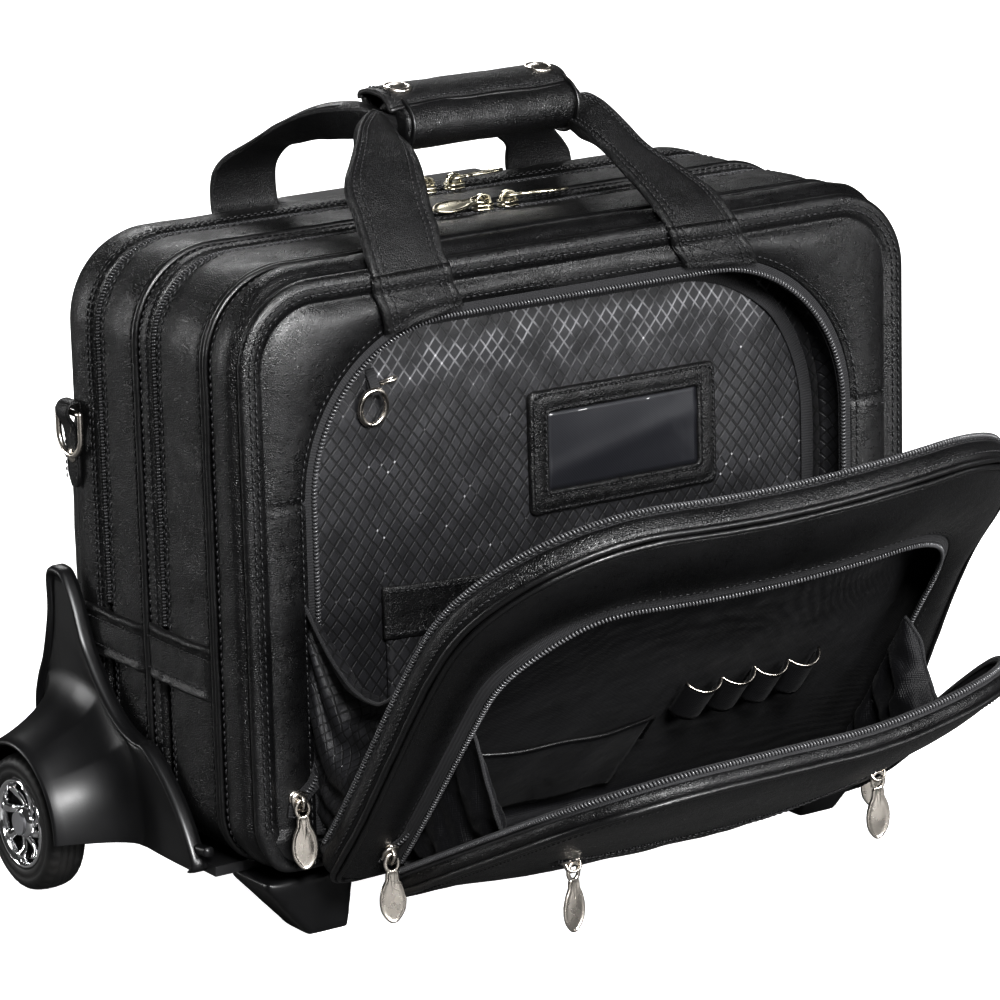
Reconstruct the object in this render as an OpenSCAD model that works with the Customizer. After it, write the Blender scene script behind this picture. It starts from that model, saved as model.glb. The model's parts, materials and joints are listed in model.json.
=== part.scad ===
// Rolling laptop case: three zipped leather sections on a wheeled trolley base.
// Origin on the floor under the middle of the overall box, +Z up, front towards -Y.
// The modules are drawn about the middle of the leather case and moved back at the end.
// All lengths in millimetres. A span is a pair [from, to] along one axis.

/* [Case] */
// Half width of the leather shells
shell_half = 213; // [205:0.5:213]
// Height of the underside of the shells
shell_bottom = 42; // [42:0.5:44]
// Height of the top of the shells
shell_top = 356; // [352:0.5:356]
// Corner radius at the top of the shells
corner_top = 46; // [36:1:50]
// Corner radius at the bottom of the shells
corner_bottom = 30; // [22:1:34]
// Wall of the leather and its backing
wall = 3; // [2.5:0.1:3]
// Rear face of the case
rear_y = 90; // [88:0.5:90]
// Front face of the case
front_y = -92; // [-93:0.5:-91]

/* [Flaps] */
// Opening angle of the large flap from upright
flap_1_angle = 42; // [20:1:48]
// Opening angle of the small flap from the large one
flap_2_angle = 22; // [12:1:30]
// Half width of the large flap
flap_1_half = 181; // [176:0.5:181]
// Length of the large flap from its fold
flap_1_length = 283; // [270:1:286]
// Depth of the large flap
flap_1_depth = 22; // [20:0.5:23]
// Half width of the small flap
flap_2_half = 150; // [140:0.5:150]
// Length of the small flap from its fold
flap_2_length = 218; // [205:1:220]
// Depth of the small flap
flap_2_depth = 16; // [14:0.5:18]

/* [Trolley] */
// Tyre outside radius, which is also the axle height
tyre_radius = 38; // [36:0.5:38]
// Tyre width
tyre_width = 24; // [22:0.5:24]
// Distance of the axle behind the middle of the case
axle_y = 82; // [80:0.5:83]
// Axle pin radius
axle_radius = 4; // [3:0.1:4.5]
// Half spacing of the handle tubes
tube_x = 62; // [55:1:64]

/* [Carry handle] */
// Half spacing of the carry straps
strap_x = 95; // [92:1:98]
// Width of the carry straps where they are sewn on
strap_width = 46; // [40:1:48]
// Half length of the padded grip
grip_half = 56; // [52:1:58]

/* [Hidden] */

leather = [0.07, 0.07, 0.075];
lining = [0.13, 0.13, 0.14];
plastic = [0.05, 0.05, 0.055];
metal = [0.75, 0.74, 0.72];
vinyl = [0.3, 0.33, 0.36, 0.5];

// stations along the depth of the case
rear_zip_y = 53;                // centre of the rear compartment zip
rear_welt_y = 12;               // rear of the welt between the rear and middle sections
middle_zip_y = -6;              // centre of the middle compartment zip
front_welt_y = -57;             // rear of the double welt in front of the middle section
front_back_y = front_welt_y - 5.6; // rear edge of the front section

zip_half = 3;                   // half width of the body zip bands
zip_end = 161;                  // height where both side zips stop
welt_depth = 3;                 // depth of the rear welt
welt_proud = 3;                 // how far the welts stand out of the shells
face_inset = 4;                 // inset of the front and rear faces inside the outline
rear_step = 8;                  // depth of the inset rear face
front_step = 6;                 // depth of the inset front face
patch = 2.2;                    // thickness of leather sewn on the side walls
clip_half = 300;                // half width that clears the whole case

// distance from the middle of the case back to the middle of the overall depth
origin_y = 95.975;

// fold of the large flap, and of the small flap in the frame of the large one
hinge_1 = [0, front_y - 2, 51.5];
hinge_2 = [0, -(flap_1_depth + 1.2), 8];

// ---- spans and outlines --------------------------------------------------

// span of a half length either side of a middle
function about(half, middle = 0) = [middle - half, middle + half];

// span between two distances from the middle plane, on side -1 (left) or 1 (right)
function on_side(side, near, far) = side > 0 ? [near, far] : [-far, -near];

// quarter circle about (x, z) from a start angle
function quarter(x, z, r, start, steps) =
    [for (i = [0:steps]) let (a = start + 90 * i / steps) [x + r * cos(a), z + r * sin(a)]];

// rounded outline of a case section
function case_outline(inset = 0) =
    let (half = shell_half - inset,
         bottom = shell_bottom + inset,
         top = shell_top - inset,
         r_low = max(corner_bottom - inset, 1),
         r_high = max(corner_top - inset, 1))
    concat(
        quarter(half - r_low, bottom + r_low, r_low, -90, 7),
        quarter(half - r_high, top - r_high, r_high, 0, 7),
        quarter(-half + r_high, top - r_high, r_high, 90, 7),
        quarter(-half + r_low, bottom + r_low, r_low, 180, 7));

// outline with a straight foot and rounded shoulders
function arch(half, bottom, top, shoulder) =
    concat(
        [[-half, bottom], [half, bottom]],
        quarter(half - shoulder, top - shoulder, shoulder, 0, 9),
        quarter(-half + shoulder, top - shoulder, shoulder, 90, 9));

// rounded rectangle about a centre
function round_box(x, z, width, height, r, steps = 4) =
    [for (k = [0:3])
        let (x_sign = (k == 0 || k == 3) ? 1 : -1, z_sign = (k < 2) ? 1 : -1)
        each quarter(x + x_sign * (width / 2 - r), z + z_sign * (height / 2 - r),
            r, 90 * k, steps)];

// 24-sided oval
function oval(x, y, radius_x, radius_y) =
    [for (i = [0:23]) let (a = 15 * i) [x + radius_x * cos(a), y + radius_y * sin(a)]];

// ---- solids --------------------------------------------------------------

// XZ outline extruded over a span of y
module along_y(points, ys) {
    translate([0, ys[1], 0]) rotate([90, 0, 0])
        linear_extrude(height = ys[1] - ys[0]) polygon(points);
}

// YZ outline extruded over a span of x
module along_x(points, xs) {
    translate([xs[0], 0, 0]) rotate([90, 0, 90])
        linear_extrude(height = xs[1] - xs[0]) polygon(points);
}

module box(xs, ys, zs) {
    translate([xs[0], ys[0], zs[0]]) cube([xs[1] - xs[0], ys[1] - ys[0], zs[1] - zs[0]]);
}

module cyl_x(xs, r, y, z) {
    translate([xs[0], y, z]) rotate([0, 90, 0]) cylinder(h = xs[1] - xs[0], r = r, $fn = 48);
}

module cyl_y(ys, r, x, z) {
    translate([x, ys[1], z]) rotate([90, 0, 0]) cylinder(h = ys[1] - ys[0], r = r, $fn = 48);
}

module cyl_z(zs, r, x, y) {
    translate([x, y, zs[0]]) cylinder(h = zs[1] - zs[0], r = r, $fn = 48);
}

// upright tube on the z axis
module tube(zs, r_in, r_out) {
    height = zs[1] - zs[0];
    translate([0, 0, zs[0]]) difference() {
        cylinder(h = height, r = r_out, $fn = 64);
        translate([0, 0, -1]) cylinder(h = height + 2, r = r_in, $fn = 64);
    }
}

// ring between two insets of the case outline
module case_ring(outer_inset, inner_inset, ys) {
    difference() {
        along_y(case_outline(outer_inset), ys);
        along_y(case_outline(inner_inset), [ys[0] - 1, ys[1] + 1]);
    }
}

// slab that clips the sections to a span of heights
module height_clip(zs) {
    box(about(clip_half), about(100), zs);
}

module placed() {
    translate([0, origin_y, 0]) children();
}

// flap frames: z runs up the flap from its fold, -y faces outwards
module in_flap_1() {
    translate(hinge_1) rotate([flap_1_angle, 0, 0]) children();
}

module in_flap_2() {
    in_flap_1() translate(hinge_2) rotate([flap_2_angle, 0, 0]) children();
}

// ---- leather sections ----------------------------------------------------

// padded rear cover of the computer compartment
module rear_cover() {
    color(leather) difference() {
        union() {
            along_y(case_outline(), [rear_zip_y + zip_half, rear_y - rear_step]);
            along_y(case_outline(face_inset), [rear_y - rear_step, rear_y]);
        }
        along_y(case_outline(face_inset + wall), [rear_zip_y, rear_y - wall]);
    }
}

// band of leather behind or in front of a zip, closed across it below the zip ends
module gusset(band, zip_y, hollow) {
    difference() {
        union() {
            along_y(case_outline(), band);
            intersection() {
                along_y(case_outline(), about(zip_half, zip_y));
                height_clip([0, zip_end]);
            }
        }
        along_y(case_outline(wall), hollow);
    }
}

module rear_gusset() {
    color(leather) gusset(band = [rear_welt_y, rear_zip_y - zip_half], zip_y = rear_zip_y,
        hollow = [rear_welt_y - 1, rear_zip_y + 10]);
}

module middle_gusset() {
    color(leather) gusset(band = [middle_zip_y + zip_half, rear_welt_y - welt_depth],
        zip_y = middle_zip_y, hollow = [middle_zip_y - 10, rear_welt_y]);
}

module middle_shell() {
    color(leather) case_ring(0, wall, [front_welt_y, middle_zip_y - zip_half]);
}

// two zips that run over the top and down both sides: tape, then teeth
module body_zips() {
    color(plastic) for (y = [rear_zip_y, middle_zip_y])
        intersection() {
            union() {
                case_ring(0.6, wall - 0.4, about(zip_half, y));
                case_ring(-0.4, 0.8, about(1.2, y));
            }
            height_clip([zip_end, 400]);
        }
}

// stiff boards: two walls between the sections and one in the floor
module stiffener_boards() {
    inset = wall + 0.2;
    thickness = 2;
    floor_z = shell_bottom + inset;
    color(lining) {
        for (y = [rear_welt_y - 2.5, front_welt_y - 3])
            along_y(case_outline(inset), [y, y + thickness]);
        box(about(180), [front_welt_y + 2, rear_welt_y - 4], [floor_z, floor_z + thickness]);
    }
}

// raised leather welts around the case: one at the rear, two side by side at the front
module welts() {
    color(leather) for (ys = [
        [rear_welt_y - welt_depth, rear_welt_y],
        [front_welt_y - 2.6, front_welt_y],
        [front_back_y, front_welt_y - 3]])
        case_ring(-welt_proud, wall, ys);
}

// side profile of the front section, [y, z]
function front_profile(inset = 0) = [
    [front_back_y, shell_bottom + inset],
    [front_y + 12, shell_bottom + inset],
    [front_y + 4 + inset * 0.4, shell_bottom + 6 + inset * 0.6],
    [front_y + inset, shell_bottom + 14 + inset * 0.3],
    [front_y + inset, shell_top - 18 - inset * 0.3],
    [front_y + 5 + inset * 0.6, shell_top - 7 - inset * 0.7],
    [front_y + 16, shell_top - inset],
    [front_back_y, shell_top - inset]];

// outline of the opening in the front face
function front_opening(inset, bottom) = arch(176 - inset, bottom, 330 - inset, 92 - inset);

module front_shell() {
    face_y = front_y + front_step;
    color(leather) difference() {
        intersection() {
            union() {
                along_y(case_outline(), [face_y, front_back_y]);
                along_y(case_outline(face_inset), [front_y, face_y]);
            }
            along_x(front_profile(), about(clip_half));
        }
        intersection() {
            along_y(case_outline(wall), [face_y, front_welt_y]);
            along_x(front_profile(wall), about(clip_half));
        }
        intersection() {
            along_y(case_outline(face_inset + wall), [front_y + wall, face_y + 1]);
            along_x(front_profile(wall), about(clip_half));
        }
        along_y(case_outline(wall), [front_welt_y - 8, front_welt_y]);
        along_y(front_opening(0, 56), [front_y - 5, front_y + 20]);
    }
}

// ---- inside the sections -------------------------------------------------

window_x = 42;
window_z = 234;

// lining tray behind the front opening
module organizer_lining() {
    color(lining) difference() {
        along_y(arch(181, 54, 333, 95), [front_y + wall + 1.3, front_welt_y - 3.6]);
        along_y(arch(179.6, 56, 331.6, 94), [front_y - 5, front_welt_y - 5]);
    }
}

// tape, then teeth, inside the edge of the front opening
module front_zip() {
    color(plastic) {
        difference() {
            along_y(front_opening(0.4, 56.4), [front_y + 0.4, front_y + 2]);
            along_y(front_opening(6, 40), about(5, front_y));
        }
        difference() {
            along_y(front_opening(2, 60), [front_y - 1, front_y + 0.4]);
            along_y(front_opening(4.6, 40), about(5, front_y));
        }
    }
}

module window_frame() {
    color(leather) difference() {
        along_y(round_box(window_x, window_z, 122, 68, 6),
            [front_welt_y - 7.2, front_welt_y - 5.2]);
        along_y(round_box(window_x, window_z, 98, 43, 2), [front_welt_y - 9, front_welt_y - 4]);
    }
}

module vinyl_window() {
    color(vinyl) along_y(round_box(window_x, window_z, 97.6, 42.6, 2),
        [front_welt_y - 6.4, front_welt_y - 5.3]);
}

// document pocket with a leather band along its mouth
module organizer_pocket() {
    mouth_z = 152;
    back = front_welt_y - 6.6;
    color(lining) box([-113, 150], [front_welt_y - 8.2, back], [62, mouth_z]);
    color(leather) box([-114, 60], [front_welt_y - 9.6, back], [mouth_z, 177]);
}

module key_ring() {
    color(metal) translate([-118, front_welt_y - 11, 276]) rotate([90, 0, 0])
        rotate_extrude($fn = 48) translate([8, 0]) circle(r = 1.5, $fn = 24);
}

// open-topped sleeve in the rear section
module laptop_sleeve() {
    color(lining) difference() {
        box(about(206), [rear_welt_y + 3, 49], [shell_bottom + 34, 300]);
        box(about(202), [rear_welt_y + 6, 46], [shell_bottom + 37, 310]);
    }
}

// ---- side walls ----------------------------------------------------------

// reinforcing bands across both side walls
module side_bands() {
    color(leather) for (side = [-1, 1]) {
        xs = on_side(side, shell_half, shell_half + patch);
        box(xs, [rear_welt_y + 1, rear_y - 10], [130, 157]);
        box(xs, [front_welt_y + 1, rear_welt_y - 4], [130, 160]);
    }
}

d_ring_x = shell_half + 5.5; // plane of the shoulder strap ring
d_ring_y = 78;               // middle of the ring
d_ring_z = 262;              // pivot height
d_ring_radius = 12;
d_ring_wire = 1.6;           // wire radius
tab_half = 6;
loop_radius = 3.9;           // leather loop around the pivot

// pointed leather tabs that hold the rings, each with a metal disc
module ring_tabs() {
    tab_front = d_ring_y - tab_half;
    tab_rear = d_ring_y + tab_half;
    color(leather) for (side = [-1, 1])
        difference() {
            union() {
                along_x([[tab_front, d_ring_z], [tab_front, 232], [d_ring_y, 222],
                    [tab_rear, 232], [tab_rear, d_ring_z]],
                    on_side(side, shell_half, shell_half + patch));
                cyl_y(about(tab_half, d_ring_y), loop_radius, side * d_ring_x, d_ring_z);
                box(on_side(side, shell_half, d_ring_x), about(tab_half, d_ring_y),
                    [d_ring_z, d_ring_z + loop_radius]);
            }
            cyl_y(about(tab_half + 2, d_ring_y), 1.68, side * d_ring_x, d_ring_z);
        }
    color(metal) for (side = [-1, 1])
        cyl_x(on_side(side, shell_half + patch, shell_half + 3.6), 3.6, d_ring_y, 238);
}

// D-shaped ring: straight bar on the pivot, half circle below
module d_ring(side) {
    color(metal) translate([side * d_ring_x, d_ring_y, d_ring_z]) {
        cyl_y(about(d_ring_radius), d_ring_wire, 0, 0);
        for (y = about(d_ring_radius)) {
            translate([0, y, 0]) sphere(r = d_ring_wire, $fn = 32);
            cyl_z([-12, 0], d_ring_wire, 0, y);
        }
        translate([0, 0, -12]) rotate([0, 90, 0]) rotate([0, 0, -90])
            rotate_extrude(angle = 180, $fn = 48)
                translate([d_ring_radius, 0]) circle(r = d_ring_wire, $fn = 24);
    }
}

module d_ring_left() { d_ring(-1); }
module d_ring_right() { d_ring(1); }

// ---- base and wheels -----------------------------------------------------

wing_x = 217;          // inner face of the wings
wing_outer_x = 222;    // outer face of the wing plates
fender_outer_x = 262;  // outer edge of the arches over the wheels
wheel_x = 236;         // inner face of the wheels
axle_end_x = 259.6;    // outer end of the axles

module base_tray() {
    color(plastic) difference() {
        box(about(216.8), [-56, 112], [36, 41.5]);
        box(about(190), [-30, 60], [35, 37.2]);
        // groove that clears the rear welt
        box(about(206), [rear_welt_y - 3.4, rear_welt_y + 0.4], [38.7, 43]);
    }
}

// side profile of a wing, [y, z]: sweeps from the rear wall down to the base
wing_points = concat(
    [[100, 174], [86, 174], [81, 168], [71, 154]],
    [for (i = [0:8]) let (part = i / 8) [64 - 62 * part, 138 - 43 * (1 - pow(1 - part, 2.2))]],
    [[-10, 88], [-22, 78], [-34, 65], [-43, 51], [-48, 40], [-44, 36], [112, 36]],
    [[118, 60], [120, 96], [112, 117], [101, 148]]);

// region, [y, z], that keeps the part of the ring over the wheel
fender_region = [[axle_y, tyre_radius], [axle_y + 80, tyre_radius + 16],
    [axle_y + 80, 160], [-10, 160], [-10, tyre_radius - 4]];

// plate with an arch over the wheel and a boss for the axle
module wing(side) {
    through = on_side(side, wing_x - 1, fender_outer_x + 1);
    color(plastic) difference() {
        union() {
            along_x(wing_points, on_side(side, wing_x, wing_outer_x));
            intersection() {
                difference() {
                    cyl_x(on_side(side, wing_x, fender_outer_x), 46.5, axle_y, tyre_radius);
                    cyl_x(through, 42.5, axle_y, tyre_radius);
                }
                along_x(fender_region, about(clip_half));
            }
            cyl_x(on_side(side, wing_outer_x, 231), 10, axle_y, tyre_radius);
        }
        cyl_x(through, axle_radius + 0.03, axle_y, tyre_radius);
    }
}

module wing_left() { wing(-1); }
module wing_right() { wing(1); }

// pins with a wider head at the outer end
module axles() {
    color(metal) for (side = [-1, 1]) {
        cyl_x(on_side(side, wing_x + 0.4, axle_end_x), axle_radius, axle_y, tyre_radius);
        cyl_x(on_side(side, axle_end_x - 3, axle_end_x), axle_radius + 2.5,
            axle_y, tyre_radius);
    }
}

module at_wheel(side) {
    translate([side * wheel_x, axle_y, tyre_radius]) children();
}

// wheel outline turned about its axle, [radius, distance outwards from the inner face]
module turned(side, points) {
    at_wheel(side) rotate([0, 90 * side, 0]) rotate_extrude($fn = 96) polygon(points);
}

module tyre(side) {
    color(plastic) turned(side, [
        [25, 1], [31, 0], [35, 1],
        [tyre_radius - 0.6, 4], [tyre_radius, 8],
        [tyre_radius, tyre_width - 8], [tyre_radius - 0.6, tyre_width - 4],
        [35, tyre_width - 1], [31, tyre_width], [25, tyre_width - 1]]);
}

// rim, centre boss and the web between them, pierced by eight holes
module hub(side) {
    bore = axle_radius + 0.05;
    color(metal) difference() {
        union() {
            turned(side, [[21.5, 1], [25, 1], [25, tyre_width - 1], [21.5, tyre_width - 1]]);
            turned(side, [[bore, 2], [9, 2], [9, 19.6], [bore, 19.6]]);
            turned(side, [[8, 13], [22, 14], [22, 18], [8, 17]]);
        }
        for (i = [0:7]) at_wheel(side) rotate([45 * i, 0, 0])
            cyl_x(on_side(side, 5, 25), 3.6, 0, 15.2);
    }
}

module tyre_left() { tyre(-1); }
module tyre_right() { tyre(1); }
module hub_left() { hub(-1); }
module hub_right() { hub(1); }

// moulded wedge feet under the front of the tray
module front_feet() {
    color(plastic) for (side = [-1, 1]) hull() {
        box(on_side(side, 148, 202), [-84, -44], [32, 35.8]);
        box(on_side(side, 149, 174), [-78, -54], [0, 4]);
    }
}

// ---- telescoping handle --------------------------------------------------

tube_y = rear_y + 10;
inner_tube_top = 340;
lock_bar = [345, 348]; // heights of the bar that joins the lock rods
button_base = 350;     // underside of the release button

// padded panel that covers the handle tubes
module back_panel() {
    panel_z = 153.5;
    step_y = rear_y + 15;
    color(leather) difference() {
        union() {
            along_y(round_box(0, panel_z, 410, 223, 26, 6), [rear_y + 1, step_y]);
            along_y(round_box(0, panel_z, 400, 213, 22, 6), [step_y, rear_y + 22]);
        }
        box(about(tube_x + 14), [rear_y, rear_y + 19.6], [0, 400]);
    }
}

module at_tubes() {
    for (side = [-1, 1]) translate([side * tube_x, tube_y, 0]) children();
}

// fixed tubes with a collar at the top
module outer_tubes() {
    color(metal) at_tubes() {
        tube([41.6, 318], 7.5, 8.5);
        tube([312, 324.6], 8.5, 9.4);
    }
}

module mid_tubes() {
    color(metal) at_tubes() {
        tube([50, 329], 6.4, 7.42);
        tube([324.9, 329], 7.42, 8.8);
    }
}

module inner_tubes() {
    color(metal) at_tubes() tube([56, inner_tube_top], 5.3, 6.34);
}

// crossbar with sockets for the tubes, a cavity for the lock bar and a button opening
module trolley_grip() {
    color(plastic) difference() {
        along_y(round_box(0, 342, 2 * tube_x + 18, 23.4, 8, 6), about(8.5, tube_y));
        for (side = [-1, 1])
            cyl_z([320, inner_tube_top + 1], 6.36, side * tube_x, tube_y);
        box(about(tube_x + 6), about(4, tube_y), [inner_tube_top, button_base]);
        box(about(16.3), about(5.3, tube_y), [345, 360]);
    }
}

// button and the stem below it
module release_button() {
    color(plastic) {
        box(about(16), about(5, tube_y), [button_base, 355.6]);
        box(about(5), about(2, tube_y), [lock_bar[1], button_base]);
    }
}

module lock_rods() {
    color(metal) {
        box(about(tube_x + 2), about(2, tube_y), lock_bar);
        for (side = [-1, 1]) cyl_z([90, lock_bar[0]], 2, side * tube_x, tube_y);
    }
}

// spring under the lock bar, drawn as a plain sleeve
module button_spring() {
    color(metal) translate([0, tube_y, 0])
        tube([inner_tube_top + 0.1, lock_bar[0] - 0.1], 2.4, 3.2);
}

// ---- carry handle --------------------------------------------------------

strap_thickness = 1.6;
sewn_top = 353.5;  // height where the straps leave the case
grip_y = 5;
grip_z = 407;
wrap_half = 64;

// y of each strap at its sewn face, at the bend, below the grip's height and at the grip
front_strap_ys = [front_y - 1.9, -76, -38, -2];
rear_strap_ys = [rear_y + 0.3, 82, 42, 12];

// centred block, [centre, size]
module strap_block(block) {
    translate(block[0]) cube(block[1], center = true);
}

// sewn end, rising strap and the turn into the grip
module strap(side, ys) {
    blocks = [
        [[side * strap_x, ys[0] + strap_thickness / 2, sewn_top],
            [strap_width, strap_thickness, 2]],
        [[side * (strap_x - 1), ys[1], 382], [strap_width - 4, 3, 3]],
        [[side * (strap_x - 10), ys[2], 409], [30, 5, 5]],
        [[side * (grip_half + 4), ys[3], grip_z], [5, 12, 8]]];
    box(about(strap_width / 2, side * strap_x), [ys[0], ys[0] + strap_thickness],
        [333, sewn_top]);
    for (i = [0:2]) hull() {
        strap_block(blocks[i]);
        strap_block(blocks[i + 1]);
    }
}

module front_straps() { color(leather) for (side = [-1, 1]) strap(side, front_strap_ys); }
module rear_straps() { color(leather) for (side = [-1, 1]) strap(side, rear_strap_ys); }

module grip_pad() {
    color(leather) along_x(oval(grip_y, grip_z, 17, 14), about(grip_half));
}

// leather flap closed over the grip, hinged at its rear edge
module grip_wrap() {
    color(leather) union() {
        along_x([[-13, 420.6], [-12, 423.4], [5, 426.4], [22, 423.6], [24, 420.4],
            [22, 421.2], [5, 423.6], [-11, 420.6]], about(wrap_half));
        // rolled rear edge on the fold line
        cyl_x(about(wrap_half), 1, 24.5, 420.5);
    }
}

module snap_caps() {
    color(metal) for (side = [-1, 1]) translate([side * 49, grip_y, 426.5]) {
        cylinder(h = 1.2, r = 7.4, $fn = 48);
        translate([0, 0, 1.2]) cylinder(h = 1, r = 5.6, $fn = 48);
    }
}

// ---- flaps ---------------------------------------------------------------

flap_1_shoulder = 98;
flap_2_shoulder = 70;

// outlines of the flaps; the inset applies to the sides and the top
function flap_1_outline(inset, bottom, shoulder) =
    arch(flap_1_half - inset, bottom, flap_1_length - inset, shoulder);

function flap_2_outline(inset, bottom, shoulder) =
    arch(flap_2_half - inset, bottom, flap_2_length - inset, shoulder);

// opening in the large flap that the small flap closes
function flap_1_opening(inset, bottom) =
    arch(flap_2_half - inset, bottom, flap_2_length + 6 - inset, flap_2_shoulder - inset);

module flap_1_shell() {
    color(leather) in_flap_1() union() {
        difference() {
            along_y(flap_1_outline(0, 1, flap_1_shoulder), [-flap_1_depth, -4]);
            along_y(flap_1_outline(2.4, 3.4, flap_1_shoulder - 2.4), [-flap_1_depth + 2.2, 0]);
            along_y(flap_1_opening(0, 12), [-flap_1_depth - 5, 0]);
        }
        // rolled hem on the fold line
        cyl_x(about(flap_1_half - 9), 1.3, 0, 0);
        box(about(flap_1_half - 10), [-5, 0], [-0.3, 1.6]);
    }
}

module flap_1_lining() {
    color(lining) in_flap_1() along_y(flap_1_outline(2.8, 4, 95), [-6.5, -5]);
}

module flap_1_zip() {
    color(plastic) in_flap_1() {
        difference() {
            along_y(flap_1_outline(0.6, 20, 97), [-3.9, -1.2]);
            along_y(flap_1_outline(3, -5, 95), [-10, 5]);
        }
        // band around the opening for the small flap
        difference() {
            along_y(flap_1_opening(0.3, 14), [-flap_1_depth + 0.3, -flap_1_depth + 1.8]);
            along_y(flap_1_opening(4, -5), [-60, 5]);
        }
    }
}

// four pen loops and a small flat pocket in the large flap
module flap_1_pockets() {
    pen_pitch = 19;
    color(lining) in_flap_1() {
        box([-120, -5], [-9.2, -7.2], [14, 80]);
        for (i = [0:3]) translate([10 + pen_pitch * i, 0, 0]) difference() {
            box([0, 15], [-12.5, -6.7], [84, 110]);
            box([1.2, 13.8], [-11.3, -7.9], [80, 115]);
        }
    }
}

// small flap with a slot across its outer face for the pocket zip
module flap_2_shell() {
    color(leather) in_flap_2() union() {
        difference() {
            along_y(flap_2_outline(0, 1, flap_2_shoulder), [-flap_2_depth, -3.4]);
            along_y(flap_2_outline(2.2, 3.2, 68), [-flap_2_depth + 2.2, 0]);
            box(about(110), [-flap_2_depth - 1, -flap_2_depth + 0.8], [98, 103]);
        }
        // rolled hem on the fold line
        cyl_x(about(flap_2_half - 12), 1, 0, 0);
        box(about(flap_2_half - 13), [-4.5, 0], [-0.2, 1.6]);
    }
}

module flap_2_lining() {
    color(lining) in_flap_2() along_y(flap_2_outline(2.6, 4, 67.4), [-5.6, -4.2]);
}

module flap_2_zip() {
    color(plastic) in_flap_2() {
        difference() {
            along_y(flap_2_outline(0.5, 18, 69.5), [-3.3, -0.9]);
            along_y(flap_2_outline(2.8, -5, 67), [-10, 5]);
        }
        // zip of the outside pocket
        box(about(109.8), [-flap_2_depth - 0.4, -flap_2_depth + 0.7], [98.2, 102.8]);
    }
}

// ---- zip hardware --------------------------------------------------------

pin_y = -4.8; // pull pin in the frame of a slider
front_slider = [flap_1_half + 7.4, front_y - 0.2, 82];
flap_slider = [flap_2_half + 6.8, -flap_1_depth - 0.2, 30]; // in the large flap's frame

// mirrored place for the left side
function sided(side, place) = [side * place[0], place[1], place[2]];

// slider with a bridge, on a face that looks towards -y, centred at the origin
module slider_body(bridge_y = -6.6) {
    box(about(3.6), [-3, 0], about(4.5));
    box(about(1.2), [bridge_y, -3], [2.7, 4.3]);
    box(about(1.2), [bridge_y, -3], [-4.3, -2.7]);
    box(about(1.2), [bridge_y - 1.4, bridge_y], about(4.3));
}

// pull hanging from its pin at the origin: pin, two arms and a pierced oval plate
module pull_body(length = 26) {
    cyl_x(about(4.2), 1, 0, 0);
    for (side = [-1, 1]) box(about(0.8, side * 3.4), about(0.8), [-8, 0]);
    difference() {
        intersection() {
            along_y(oval(0, -6 - length / 2, 6, length / 2), about(0.8));
            box(about(10), about(2), [-60, -6.4]);
        }
        cyl_y(about(3), 1.6, 0, -10.5);
    }
}

module front_sliders() {
    color(metal) for (side = [-1, 1]) translate(sided(side, front_slider)) slider_body();
}

module front_pull(side) {
    color(metal) translate(sided(side, front_slider)) translate([0, pin_y, 0]) pull_body();
}

module pull_front_left() { front_pull(-1); }
module pull_front_right() { front_pull(1); }

module flap_sliders() {
    color(metal) in_flap_1() for (side = [-1, 1])
        translate(sided(side, flap_slider)) slider_body();
}

// hangs straight down while the flap leans
module flap_pull(side) {
    color(metal) in_flap_1() translate(sided(side, flap_slider))
        translate([0, pin_y, 0]) rotate([-flap_1_angle, 0, 0]) pull_body();
}

module pull_flap_left() { flap_pull(-1); }
module pull_flap_right() { flap_pull(1); }

// slider on the top of the case, its pull lying towards -x or +x
module top_slider(x, y, side) {
    color(metal) translate([x, y, shell_top + 0.6]) {
        box(about(4.5), about(3.6), [0, 3]);
        for (end = [-1, 1]) box(on_side(end, 2.7, 4.3), about(1.2), [3, 5.6]);
        box(about(4.3), about(1.2), [5.6, 7]);
        cyl_y(about(4.2), 1, 0, 4.3);
        for (arm = [-1, 1]) box(on_side(side, 0, 10), about(0.8, arm * 3.4), [3.5, 5.1]);
        translate([side * 20, 0, 3.5]) linear_extrude(height = 1.6) polygon(oval(0, 0, 12, 6));
    }
}

module slider_rear_left() { top_slider(-4, rear_zip_y, -1); }
module slider_rear_right() { top_slider(14, rear_zip_y, 1); }
module slider_middle_left() { top_slider(-6, middle_zip_y, -1); }
module slider_middle_right() { top_slider(10, middle_zip_y, 1); }

// slider and hanging pull of the long pocket on the outside of the small flap
module pocket_slider(x) {
    face_y = -flap_2_depth - 0.5;
    pocket_zip_z = 100.5;
    color(metal) in_flap_2() translate([x, face_y, pocket_zip_z]) rotate([0, 90, 0])
        slider_body(bridge_y = -5.6);
    color(metal) in_flap_2() translate([x, face_y - 4.3, pocket_zip_z])
        rotate([-(flap_1_angle + flap_2_angle), 0, 0]) pull_body(24);
}

module slider_pocket_left() { pocket_slider(-101); }
module slider_pocket_right() { pocket_slider(98); }

// ---- every node ----------------------------------------------------------

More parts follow.
